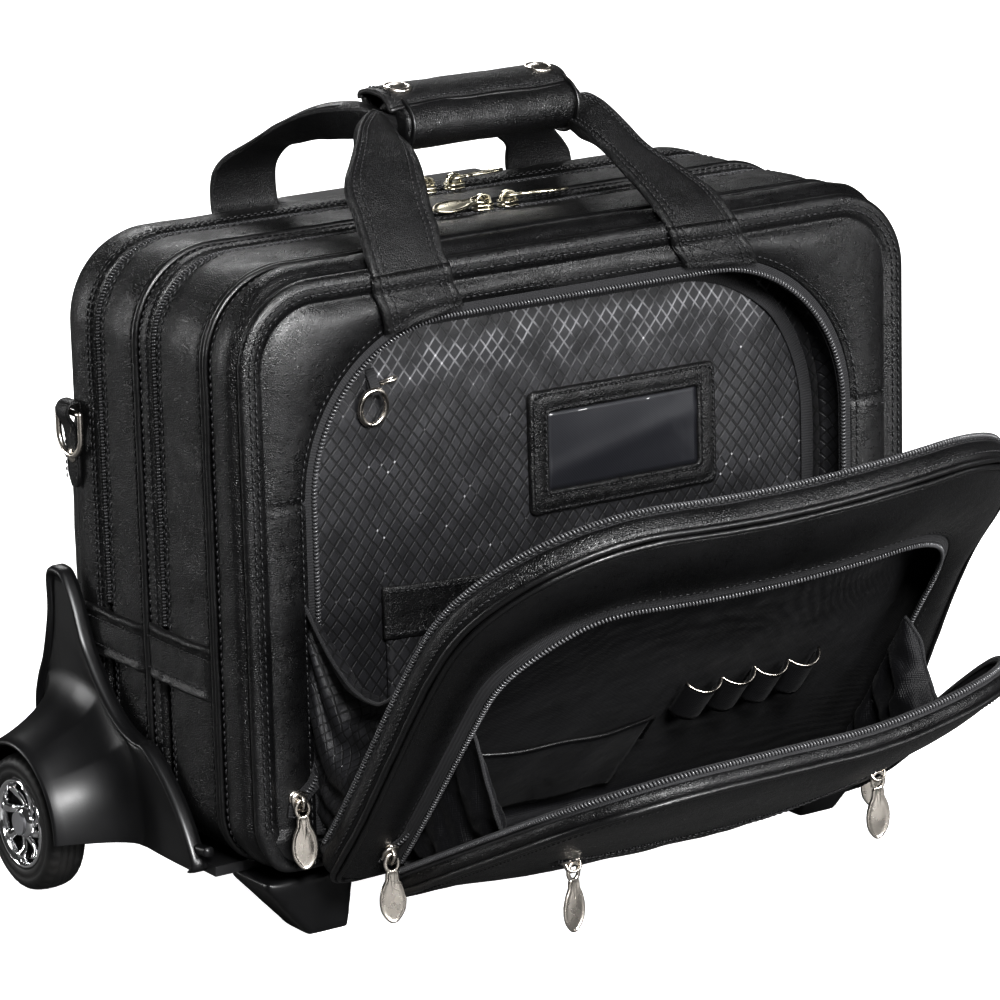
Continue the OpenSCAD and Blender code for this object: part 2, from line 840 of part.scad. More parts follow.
placed() rear_cover();
placed() rear_gusset();
placed() middle_gusset();
placed() middle_shell();
placed() body_zips();
placed() stiffener_boards();
placed() welts();
placed() front_shell();
placed() organizer_lining();
placed() front_zip();
placed() window_frame();
placed() vinyl_window();
placed() organizer_pocket();
placed() key_ring();
placed() laptop_sleeve();
placed() side_bands();
placed() ring_tabs();
placed() d_ring_left();
placed() d_ring_right();
placed() base_tray();
placed() wing_left();
placed() wing_right();
placed() axles();
placed() tyre_left();
placed() tyre_right();
placed() hub_left();
placed() hub_right();
placed() back_panel();
placed() outer_tubes();
placed() mid_tubes();
placed() inner_tubes();
placed() trolley_grip();
placed() release_button();
placed() lock_rods();
placed() button_spring();
placed() front_feet();
placed() front_straps();
placed() rear_straps();
placed() grip_pad();
placed() grip_wrap();
placed() snap_caps();
placed() flap_1_shell();
placed() flap_1_lining();
placed() flap_1_zip();
placed() flap_1_pockets();
placed() flap_2_shell();
placed() flap_2_lining();
placed() flap_2_zip();
placed() front_sliders();
placed() flap_sliders();
placed() pull_front_left();
placed() pull_front_right();
placed() pull_flap_left();
placed() pull_flap_right();
placed() slider_rear_left();
placed() slider_rear_right();
placed() slider_middle_left();
placed() slider_middle_right();
placed() slider_pocket_left();
placed() slider_pocket_right();
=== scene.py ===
"""Wheeled black leather laptop case with a trolley handle and two open front flaps.

The frame is in metres with +Z up. The front of the case looks along -Y, "left" is -X and the
wheels stand at the rear on z = 0. Pieces are drawn in millimetres about the middle of the case,
then moved along Y into the frame (see CASE_SHIFT). Outlines are lists of (x, z).
"""
import json
import math
from collections import namedtuple
from math import pi

import bmesh
import bpy
import numpy as np
from mathutils import Matrix, Vector, noise
from mathutils.bvhtree import BVHTree

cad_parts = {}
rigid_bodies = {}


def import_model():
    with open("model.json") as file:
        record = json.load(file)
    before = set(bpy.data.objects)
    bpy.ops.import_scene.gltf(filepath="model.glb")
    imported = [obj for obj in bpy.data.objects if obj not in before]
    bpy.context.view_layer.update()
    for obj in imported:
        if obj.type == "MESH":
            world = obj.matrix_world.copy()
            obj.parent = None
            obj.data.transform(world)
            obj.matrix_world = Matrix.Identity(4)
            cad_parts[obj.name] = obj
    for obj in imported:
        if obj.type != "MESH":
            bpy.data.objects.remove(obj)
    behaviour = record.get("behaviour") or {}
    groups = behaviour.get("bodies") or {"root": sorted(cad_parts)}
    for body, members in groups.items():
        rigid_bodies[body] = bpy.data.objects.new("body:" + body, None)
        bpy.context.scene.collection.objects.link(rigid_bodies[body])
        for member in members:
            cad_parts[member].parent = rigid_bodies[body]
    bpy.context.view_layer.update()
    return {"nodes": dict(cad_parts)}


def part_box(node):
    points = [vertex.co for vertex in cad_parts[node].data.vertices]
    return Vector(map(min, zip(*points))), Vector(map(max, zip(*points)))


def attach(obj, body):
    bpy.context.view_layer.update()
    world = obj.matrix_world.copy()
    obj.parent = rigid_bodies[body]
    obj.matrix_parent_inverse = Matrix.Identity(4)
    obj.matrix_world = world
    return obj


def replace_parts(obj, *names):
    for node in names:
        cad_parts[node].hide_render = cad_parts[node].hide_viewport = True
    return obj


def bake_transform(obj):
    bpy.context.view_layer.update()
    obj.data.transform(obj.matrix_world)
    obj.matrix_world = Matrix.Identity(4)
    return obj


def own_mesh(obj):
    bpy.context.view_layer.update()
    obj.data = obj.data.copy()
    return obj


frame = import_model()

MM = 0.001
SIDES = ((-1, "left"), (1, "right"))
FRONT = (0, -1, 0)
BACK = (0, 1, 0)
UP = (0, 0, 1)

# wheel axle, drawn mm
AXLE_Y, AXLE_Z = 82.0, 38.0
# the frame's origin is this far from the middle of the case (m)
CASE_SHIFT = (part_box("tyre_left")[0].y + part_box("tyre_left")[1].y) / 2 - AXLE_Y * MM

# outline of the case seen from the front
HALF_WIDTH = 213.0
CASE_LOW, CASE_TOP = 42.0, 356.0
CASE_MID = (CASE_LOW + CASE_TOP) / 2
TOP_RADIUS, LOW_RADIUS = 46.0, 30.0

Outline = namedtuple("Outline", "points normals")


# ---------------------------------------------------------------- attaching pieces to the frame

def shifted(ob):
    """Move a drawn piece into the frame, once."""
    if not ob.get("drawn_shift"):
        ob.data.transform(Matrix.Translation((0, CASE_SHIFT, 0)))
        ob.data.update()
        ob["drawn_shift"] = 1
    return ob


def shifted_point(point):
    return (point[0], point[1] + CASE_SHIFT, point[2])


def ride(ob, body):
    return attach(shifted(ob), body)


def squash(ob):
    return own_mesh(shifted(ob))


def blend(ob, a, b, start, end):
    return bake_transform(shifted(ob))


def link_object(name, data):
    ob = bpy.data.objects.new(name, data)
    bpy.context.scene.collection.objects.link(ob)
    return ob


# ---------------------------------------------------------------- shader helpers

# the range in which most values of a noise texture lie
NOISE_SPAN = (0.3, 0.7)


def shade(colour, factor):
    return tuple(factor * x for x in colour)


class Nodes:
    """Short ways to add nodes to a tree."""

    def __init__(self, tree):
        self.tree = tree

    def feed(self, socket, value):
        """Link an output into the socket, or store a number, vector or colour there."""
        if isinstance(value, bpy.types.NodeSocket):
            self.tree.links.new(value, socket)
        elif socket.type == "RGBA":
            socket.default_value = (*value, 1)
        else:
            socket.default_value = value

    def feed_all(self, node, values):
        for socket, value in zip(node.inputs, values):
            self.feed(socket, value)
        return node

    def node(self, kind, **values):
        """Values named like an input feed it; the others are set on the node."""
        node = self.tree.nodes.new("ShaderNode" + kind)
        for key, value in values.items():
            if key in node.inputs:
                self.feed(node.inputs[key], value)
            else:
                setattr(node, key, value)
        return node

    def fac(self, kind, coords, **values):
        return self.node(kind, Vector=coords, **values).outputs["Fac"]

    def remap(self, source, span, to=(0.0, 1.0), smooth=False):
        node = self.node("MapRange")
        if smooth:
            node.interpolation_type = "SMOOTHSTEP"
        return self.feed_all(node, (source, *span, *to)).outputs[0]

    def math(self, operation, *operands):
        return self.feed_all(self.node("Math", operation=operation), operands).outputs[0]

    def times(self, a, b):
        return self.math("MULTIPLY", a, b)

    def total(self, first, *others):
        for term in others:
            first = self.math("ADD", first, term)
        return first

    def mix(self, factor, a, b):
        node = self.node("Mix", data_type="RGBA")
        for index, value in ((0, factor), (6, a), (7, b)):
            self.feed(node.inputs[index], value)
        return node.outputs[2]

    def warp(self, coords, texture, amount):
        """Coordinates pushed about by the colour of a texture."""
        node = self.node("VectorMath", operation="MULTIPLY_ADD")
        return self.feed_all(node, (texture.outputs["Color"], amount, coords)).outputs[0]

    def bump(self, height, strength, distance, over=None):
        node = self.node("Bump", Strength=strength, Distance=distance, Height=height)
        if over is not None:
            self.feed(node.inputs["Normal"], over)
        return node.outputs[0]


class Shader(Nodes):
    """A new material with one Principled shader."""

    def __init__(self, name):
        self.material = bpy.data.materials.new(name)
        self.material.use_nodes = True
        super().__init__(self.material.node_tree)
        self.tree.nodes.clear()
        output = self.node("OutputMaterial")
        self.principled = self.node("BsdfPrincipled")
        self.feed(output.inputs[0], self.principled.outputs[0])

    def object_coords(self):
        return self.node("TexCoord").outputs["Object"]

    def pointiness(self):
        return self.node("NewGeometry").outputs["Pointiness"]

    def finish(self, values):
        """Feed the Principled inputs and return the material."""
        for key, value in values.items():
            self.feed(self.principled.inputs[key], value)
        return self.material


# ---------------------------------------------------------------- materials

def leather(name, roughness=0.31, pebbling=1.0, cell=1.25, creasing=1.0, coat=0.12):
    """Pebbled full-grain leather; cell is the size of a pebble in mm."""
    black = (0.0032, 0.0032, 0.0036)
    edge_wear = (0.032, 0.031, 0.031)
    s = Shader(name)
    coords = s.object_coords()
    drift = s.node("TexNoise", Vector=coords, Scale=120.0, Detail=2.0)
    cells = s.node("TexVoronoi", feature="DISTANCE_TO_EDGE", Scale=1000.0 / cell,
                   Vector=s.warp(coords, drift, amount=(0.0022, 0.0022, 0.0022)))
    pebbles = s.remap(cells.outputs["Distance"], span=(0.0, 0.32), smooth=True)
    pores = s.fac("TexNoise", coords, Scale=2400.0, Detail=2.0)
    creases = s.fac("TexNoise", coords, Scale=300.0, Detail=4.0, Roughness=0.6)
    folds = s.fac("TexNoise", coords, Scale=26.0, Detail=3.0)
    height = s.total(s.times(pebbles, 0.5), s.times(pores, 0.25),
                     s.times(creases, 0.9 * creasing))
    fold_bump = s.bump(folds, strength=0.35 * creasing, distance=0.0022)
    wear = s.remap(s.pointiness(), span=(0.54, 0.62), to=(0.0, 0.5), smooth=True)
    colour = s.mix(s.remap(folds, span=NOISE_SPAN), shade(black, 0.8), shade(black, 1.3))
    return s.finish({
        "Normal": s.bump(height, strength=0.85 * pebbling, distance=0.00036, over=fold_bump),
        "Roughness": s.total(
            s.remap(creases, span=NOISE_SPAN, to=(roughness - 0.07, roughness + 0.08)),
            s.remap(folds, span=(0.35, 0.65), to=(-0.05, 0.05)),
            s.remap(pebbles, span=(0.0, 1.0), to=(0.10, -0.02))),
        "Base Color": s.mix(wear, colour, edge_wear),
        "Specular IOR Level": 0.5,
        "Coat Weight": coat, "Coat Roughness": 0.28,
        "Sheen Weight": 0.008, "Sheen Roughness": 0.4})


def ripstop(name, size=1.0):
    """Dark cloth with a diamond grid of threads; its UV map is in metres."""
    cell_width, cell_height = 0.0078 * size, 0.0098 * size
    thread_half = 0.075                                     # in cells
    cloth_dark, cloth_light = (0.010, 0.010, 0.0115), (0.027, 0.027, 0.030)
    # the pale thread colour is a painted highlight
    thread_dark, thread_painted_highlight = (0.003, 0.003, 0.0035), (0.26, 0.26, 0.27)
    glint = (0.35, 0.35, 0.36)
    s = Shader(name)
    uv = s.node("UVMap").outputs[0]
    drift = s.node("TexNoise", Vector=uv, Scale=22.0, Detail=1.0)
    place = s.node("SeparateXYZ")
    s.feed(place.inputs[0], s.warp(uv, drift, amount=(0.004, 0.004, 0.0)))
    across = s.math("DIVIDE", place.outputs[0], cell_width)
    along = s.math("DIVIDE", place.outputs[1], cell_height)

    def thread(position):
        offset = s.math("SUBTRACT", s.math("FRACT", position), 0.5)
        span = (0.5 - thread_half * 1.7, 0.5 - thread_half * 0.7)
        return s.remap(s.math("ABSOLUTE", offset), span=span, smooth=True)

    rising = thread(s.math("ADD", across, along))
    falling = thread(s.math("SUBTRACT", across, along))
    threads = s.math("MAXIMUM", rising, falling)
    weave = s.total(*(s.fac("TexWave", uv, Scale=700.0, Distortion=0.4, bands_direction=axis)
                      for axis in "XY"))
    blotches = s.fac("TexNoise", uv, Scale=60.0, Detail=3.0)
    colour = s.mix(s.remap(blotches, span=NOISE_SPAN), cloth_dark, cloth_light)
    colour = s.mix(threads, colour, thread_dark)
    # painted highlight: the threads turn pale towards the top of the case
    spot = s.node("SeparateXYZ")
    s.feed(spot.inputs[0], s.object_coords())
    high = s.times(s.remap(spot.outputs[2], span=(0.262, 0.315), smooth=True),
                   s.remap(blotches, span=(0.36, 0.62), to=(0.15, 1.0), smooth=True))
    colour = s.mix(s.times(s.times(threads, high), 0.75), colour, thread_painted_highlight)
    # a few crossings catch the light
    glints = s.remap(blotches, span=(0.60, 0.68), smooth=True)
    colour = s.mix(s.times(s.times(rising, falling), s.times(glints, 0.9)), colour, glint)
    height = s.total(s.times(weave, 0.12), s.times(threads, -0.8))
    sag = s.bump(drift.outputs["Fac"], strength=0.5, distance=0.004)
    return s.finish({
        "Base Color": colour,
        "Normal": s.bump(height, strength=0.6, distance=0.0004, over=sag),
        "Roughness": s.remap(threads, span=(0, 1), to=(0.42, 0.6)),
        "Sheen Weight": 0.03, "Sheen Roughness": 0.35})


def tape(name):
    """Woven zip tape with fine ribs across and along its UV map."""
    base = (0.0095, 0.0095, 0.0105)
    s = Shader(name)
    uv = s.node("UVMap").outputs[0]
    ribs = s.fac("TexWave", uv, Scale=210.0, Distortion=0.8, bands_direction="Y",
                 **{"Detail Scale": 3.0})
    cords = s.fac("TexWave", uv, Scale=380.0, Distortion=0.5, bands_direction="X")
    fuzz = s.fac("TexNoise", uv, Scale=900.0, Detail=3.0)
    height = s.total(s.times(ribs, cords), s.times(fuzz, 0.4))
    return s.finish({
        "Normal": s.bump(height, strength=0.8, distance=0.00035),
        "Base Color": s.mix(height, base, shade(base, 2.6)),
        "Roughness": 0.75, "Sheen Weight": 0.06})


def plastic(name, base=(0.0055, 0.0055, 0.006), roughness=0.36, grain=1.0, scale=1400.0):
    edge_wear = (0.05, 0.05, 0.052)
    s = Shader(name)
    coords = s.object_coords()
    grains = s.fac("TexNoise", coords, Scale=scale, Detail=3.0)
    blotches = s.fac("TexNoise", coords, Scale=30.0, Detail=3.0)
    wear = s.remap(s.pointiness(), span=(0.55, 0.66), to=(0.0, 0.6), smooth=True)
    colour = s.mix(s.remap(blotches, span=NOISE_SPAN), base, shade(base, 1.5))
    return s.finish({
        "Normal": s.bump(grains, strength=0.22 * grain, distance=0.00012),
        "Roughness": s.remap(blotches, span=NOISE_SPAN, to=(roughness - 0.05, roughness + 0.07)),
        "Base Color": s.mix(wear, colour, edge_wear)})


def metal(name, base, roughness, brushed=0.3, dark=0.35, variation=1.0):
    """dark is how far hollows darken; variation scales the spread of the roughness."""
    s = Shader(name)
    coords = s.object_coords()
    grains = s.fac("TexNoise", coords, Scale=900.0, Detail=3.0)
    blotches = s.fac("TexNoise", coords, Scale=120.0, Detail=4.0)
    hollows = s.remap(s.pointiness(), span=(0.40, 0.49), to=(dark, 0.0), smooth=True)
    spread = (roughness - 0.07 * variation, roughness + 0.1 * variation)
    return s.finish({
        "Base Color": s.mix(hollows, base, shade(base, 0.25)),
        "Metallic": 1.0,
        "Roughness": s.remap(blotches, span=NOISE_SPAN, to=spread),
        "Normal": s.bump(grains, strength=0.12 * brushed, distance=0.0001)})


def rubber(name):
    clean, dusty = (0.011, 0.011, 0.011), (0.024, 0.023, 0.022)
    s = Shader(name)
    coords = s.object_coords()
    grains = s.fac("TexNoise", coords, Scale=700.0, Detail=4.0)
    blotches = s.fac("TexNoise", coords, Scale=60.0, Detail=4.0)
    return s.finish({
        "Normal": s.bump(grains, strength=0.3, distance=0.0002),
        "Base Color": s.mix(s.remap(blotches, span=(0.4, 0.7)), clean, dusty),
        "Roughness": s.remap(blotches, span=NOISE_SPAN, to=(0.45, 0.62))})


def vinyl(name):
    """Clear glossy window sheet over a dark woven backing."""
    s = Shader(name)
    coords = s.object_coords()
    ripples = s.fac("TexNoise", coords, Scale=34.0, Detail=3.0)
    weave = s.fac("TexWave", coords, Scale=420.0, Distortion=0.3, bands_direction="DIAGONAL")
    return s.finish({
        "Base Color": s.mix(weave, (0.004, 0.004, 0.006), (0.02, 0.021, 0.026)),
        "Coat Normal": s.bump(ripples, strength=0.5, distance=0.004),
        "Roughness": 0.45, "Coat Weight": 1.0, "Coat Roughness": 0.05})


def nylon(name, base=(0.0042, 0.0042, 0.005), roughness=0.5):
    s = Shader(name)
    coords = s.object_coords()
    weave = s.total(*(s.fac("TexWave", coords, Scale=330.0, Distortion=0.6, bands_direction=axis)
                      for axis in "XYZ"))
    folds = s.fac("TexNoise", coords, Scale=45.0, Detail=4.0)
    fold_bump = s.bump(folds, strength=0.5, distance=0.003)
    return s.finish({
        "Normal": s.bump(weave, strength=0.4, distance=0.0002, over=fold_bump),
        "Base Color": s.mix(s.remap(folds, span=NOISE_SPAN), base, shade(base, 1.9)),
        "Roughness": s.remap(folds, span=NOISE_SPAN, to=(roughness - 0.08, roughness + 0.1)),
        "Specular IOR Level": 0.26, "Sheen Weight": 0.06, "Sheen Roughness": 0.4})


MATERIALS = {
    "leather": leather("leather_black"),
    "leather_soft": leather("leather_soft", roughness=0.29, pebbling=0.7, cell=1.1,
                            creasing=1.2, coat=0.2),
    "leather_strap": leather("leather_strap", roughness=0.40, pebbling=1.25, cell=1.15),
    "welt": leather("leather_welt", roughness=0.30, pebbling=0.5, cell=1.0, creasing=0.5,
                    coat=0.35),
    "lining": ripstop("lining_ripstop"),
    # a finer cut of the lining, on offer for small pieces
    "lining_fine": ripstop("lining_ripstop_fine", size=0.72),
    "tape": tape("zip_tape"),
    "teeth": plastic("zip_coil", base=(0.075, 0.075, 0.078), roughness=0.17, grain=0.3),
    "thread": plastic("stitch_thread", base=(0.016, 0.016, 0.017), roughness=0.42, grain=2.0,
                      scale=3500.0),
    "plastic": plastic("moulded_black"),
    "plastic_rough": plastic("moulded_rough", roughness=0.5, grain=2.0, scale=1000.0),
    "nickel": metal("satin_nickel", base=(0.66, 0.62, 0.57), roughness=0.26),
    "pewter": metal("warm_pewter", base=(0.52, 0.49, 0.40), roughness=0.28),
    "chrome": metal("bright_chrome", base=(0.85, 0.85, 0.86), roughness=0.09, brushed=0.05,
                    dark=0.6),
    "steel": metal("plain_steel", base=(0.5, 0.5, 0.52), roughness=0.34, dark=0.0, brushed=0.15,
                   variation=0.3),
    "aluminium": metal("anodised_tube", base=(0.62, 0.63, 0.65), roughness=0.36, brushed=0.15,
                       dark=0.0, variation=0.25),
    "rubber": rubber("tyre_rubber"),
    "vinyl": vinyl("clear_vinyl"),
    "nylon": nylon("lining_nylon"),
    "board": nylon("board_cover", base=(0.02, 0.02, 0.021), roughness=0.7),
}


# ---------------------------------------------------------------- curves and outlines

def smoothstep(low, high, x):
    t = min(1.0, max(0.0, (x - low) / (high - low)))
    return t * t * (3 - 2 * t)


def fbm(point, size, seed=0.0):
    """Two octaves of smooth noise with features of about the given size."""
    x, y, z = point
    v = Vector((x / size + seed, y / size - seed * 0.7, z / size + seed * 1.3))
    return noise.noise(v) + 0.5 * noise.noise(v * 2.1)


def noise_at(x, y, z):
    return noise.noise(Vector((x, y, z)))


def turn(count):
    """Equal angles round a full turn."""
    return np.linspace(0, 2 * pi, count, endpoint=False)


def unit(vectors):
    return vectors / np.maximum(np.linalg.norm(vectors, axis=1)[:, None], 1e-9)


def lengths(points):
    """Distance along a path at each of its points."""
    steps = np.linalg.norm(np.diff(points, axis=0), axis=1)
    return np.concatenate([[0], np.cumsum(steps)])


def resample(points, count, closed=False):
    P = np.asarray(points, float)
    if closed:
        P = np.vstack([P, P[:1]])
    along = lengths(P)
    stations = np.linspace(0, along[-1], count + 1 if closed else count)
    if closed:
        stations = stations[:-1]
    return np.stack([np.interp(stations, along, P[:, k]) for k in range(P.shape[1])], 1)


def smooth_path(points, per_span, closed=False):
    """Catmull-Rom through the control points."""
    P = np.asarray(points, float)
    count = len(P)
    out = []
    for i in range(count if closed else count - 1):
        if closed:
            p0, p1, p2, p3 = P[(i - 1) % count], P[i], P[(i + 1) % count], P[(i + 2) % count]
        else:
            p1, p2 = P[i], P[i + 1]
            p0 = P[i - 1] if i > 0 else 2 * p1 - p2
            p3 = P[i + 2] if i + 2 < count else 2 * p2 - p1
        for t in np.linspace(0, 1, per_span, endpoint=False):
            out.append(0.5 * ((2 * p1) + (-p0 + p2) * t + (2 * p0 - 5 * p1 + 4 * p2 - p3) * t * t
                              + (-p0 + 3 * p1 - 3 * p2 + p3) * t ** 3))
    if not closed:
        out.append(P[-1])
    return np.array(out)


def right_hand_normals(loop):
    """Normals to the right of travel: outward on a loop that starts at the bottom towards +x."""
    T = unit(np.roll(loop, -1, 0) - np.roll(loop, 1, 0))
    return np.stack([T[:, 1], -T[:, 0]], 1)


def left_hand_normals(path):
    """Normals to the left of travel along an open path: outward on a path from u_open."""
    T = np.gradient(path, axis=0)
    T /= np.linalg.norm(T, axis=1)[:, None]
    return np.stack([-T[:, 1], T[:, 0]], 1)


def outline_of(loop):
    return Outline(loop, right_hand_normals(loop))


def as_3d(normals):
    return np.stack([normals[:, 0], normals[:, 0] * 0, normals[:, 1]], 1)


def at_depth(points, y):
    """Points (x, z) given a y: a number, one per point, or a function of x and z."""
    points = np.asarray(points, float)
    if callable(y):
        y = [y(x, z) for x, z in points]
    depth = np.broadcast_to(np.asarray(y, float), len(points))
    return np.stack([points[:, 0], depth, points[:, 1]], 1)


def arc(centre_x, centre_z, radius, start, steps, sweep=90):
    angles = [math.radians(start + sweep * i / steps) for i in range(steps + 1)]
    return [(centre_x + radius * math.cos(a), centre_z + radius * math.sin(a)) for a in angles]


def rounded_rect(width, height, radius, steps, centre=(0, 0)):
    points = []
    for start, sx, sz in ((0, 1, 1), (90, -1, 1), (180, -1, -1), (270, 1, -1)):
        points += arc(centre[0] + sx * (width / 2 - radius), centre[1] + sz * (height / 2 - radius),
                      radius, start, steps)
    return points


def slab(width, thickness, radius=None):
    """Rounded rectangle section."""
    if radius is None:
        radius = min(width, thickness) / 2 * 0.98
    return rounded_rect(width, thickness, radius, 3)


def circle(radius, count=8):
    return [(radius * math.cos(2 * pi * i / count), radius * math.sin(2 * pi * i / count))
            for i in range(count)]


def case_outline(count):
    """Outline of the case from the bottom middle towards +x."""
    right, top = HALF_WIDTH - TOP_RADIUS, CASE_TOP - TOP_RADIUS
    low_right, low = HALF_WIDTH - LOW_RADIUS, CASE_LOW + LOW_RADIUS
    points = [(0, CASE_LOW)]
    points += arc(low_right, low, LOW_RADIUS, -90, 24) + arc(right, top, TOP_RADIUS, 0, 24)
    points += arc(-right, top, TOP_RADIUS, 90, 24) + arc(-low_right, low, LOW_RADIUS, 180, 24)
    return outline_of(resample(points, count, closed=True))


def u_loop(half, low, high, radius, count, low_radius=2.0):
    """Closed inverted U with a flat bottom, from the bottom middle towards +x."""
    points = [(0, low)]
    points += arc(half - low_radius, low + low_radius, low_radius, -90, 6)
    points += arc(half - radius, high - radius, radius, 0, 30)
    points += arc(-half + radius, high - radius, radius, 90, 30)
    points += arc(-half + low_radius, low + low_radius, low_radius, 180, 6)
    return resample(points, count, closed=True)


def u_open(half, low, high, radius, count):
    """Open inverted U from the left foot over the top to the right foot."""
    points = [(-half, low)]
    points += arc(-half + radius, high - radius, radius, 180, 40, sweep=-90)
    points += arc(half - radius, high - radius, radius, 90, 40, sweep=-90)
    points.append((half, low))
    return resample(points, count)


def corner_marks(half, low, high, radius, side_z, low_radius=0.0):
    """Eight points of an outline, used to pair it with another one."""
    inset = 0.29                # of the radius: the middle of a rounded corner
    right = [(half - low_radius * inset, low + low_radius * inset), (half, side_z),
             (half - radius * inset, high - radius * inset)]
    return [(0, low)] + right + [(0, high)] + [(-x, z) for x, z in right[::-1]]


def match_loops(outer, outer_marks, inner, inner_marks, count):
    """Resample two closed loops with equal numbers of points between matching marks."""
    def cut(loop, marks):
        ids = [int(np.argmin(((loop - np.array(mark)) ** 2).sum(1))) for mark in marks]
        parts = []
        for a, b in zip(ids, ids[1:] + [ids[0] + len(loop)]):
            if b <= a:
                b += len(loop)
            parts.append(loop[np.arange(a, b + 1) % len(loop)])
        return parts
    outer_parts, inner_parts = cut(outer, outer_marks), cut(inner, inner_marks)
    spans = [np.linalg.norm(np.diff(part, axis=0), axis=1).sum() for part in outer_parts]
    total = sum(spans)
    new_outer, new_inner = [], []
    for part, partner, span in zip(outer_parts, inner_parts, spans):
        n = max(4, int(round(count * span / total)))
        new_outer.append(resample(part, n + 1)[:-1])
        new_inner.append(resample(partner, n + 1)[:-1])
    return np.vstack(new_outer), np.vstack(new_inner)


def frames(path, up, closed):
    """Side and normal vectors along a path."""
    if closed:
        T = np.roll(path, -1, 0) - np.roll(path, 1, 0)
    else:
        T = np.gradient(path, axis=0)
    T /= np.linalg.norm(T, axis=1)[:, None]
    side = unit(np.cross(T, np.asarray(up, float)))
    return side, np.cross(side, T)


class Run:
    """Evenly spaced stations along a path that lies on a surface."""

    def __init__(self, path, normals, pitch, least, closed=False):
        self.path = np.asarray(path, float)
        normals = np.asarray(normals, float)
        if closed:
            self.path = np.vstack([self.path, self.path[:1]])
            if normals.ndim > 1:
                normals = np.vstack([normals, normals[:1]])
        if normals.ndim == 1:
            normals = np.broadcast_to(normals, (len(self.path), 3))
        self.along = lengths(self.path)
        total = self.along[-1]
        self.count = max(least, int(total / pitch))
        self.stations = (np.arange(self.count) + 0.5) * total / self.count
        self.normals = unit(self.at(self.stations, normals))

    def at(self, distance, values=None):
        values = self.path if values is None else values
        return np.stack([np.interp(distance, self.along, values[:, i]) for i in range(3)], -1)


# ---------------------------------------------------------------- mesh helpers

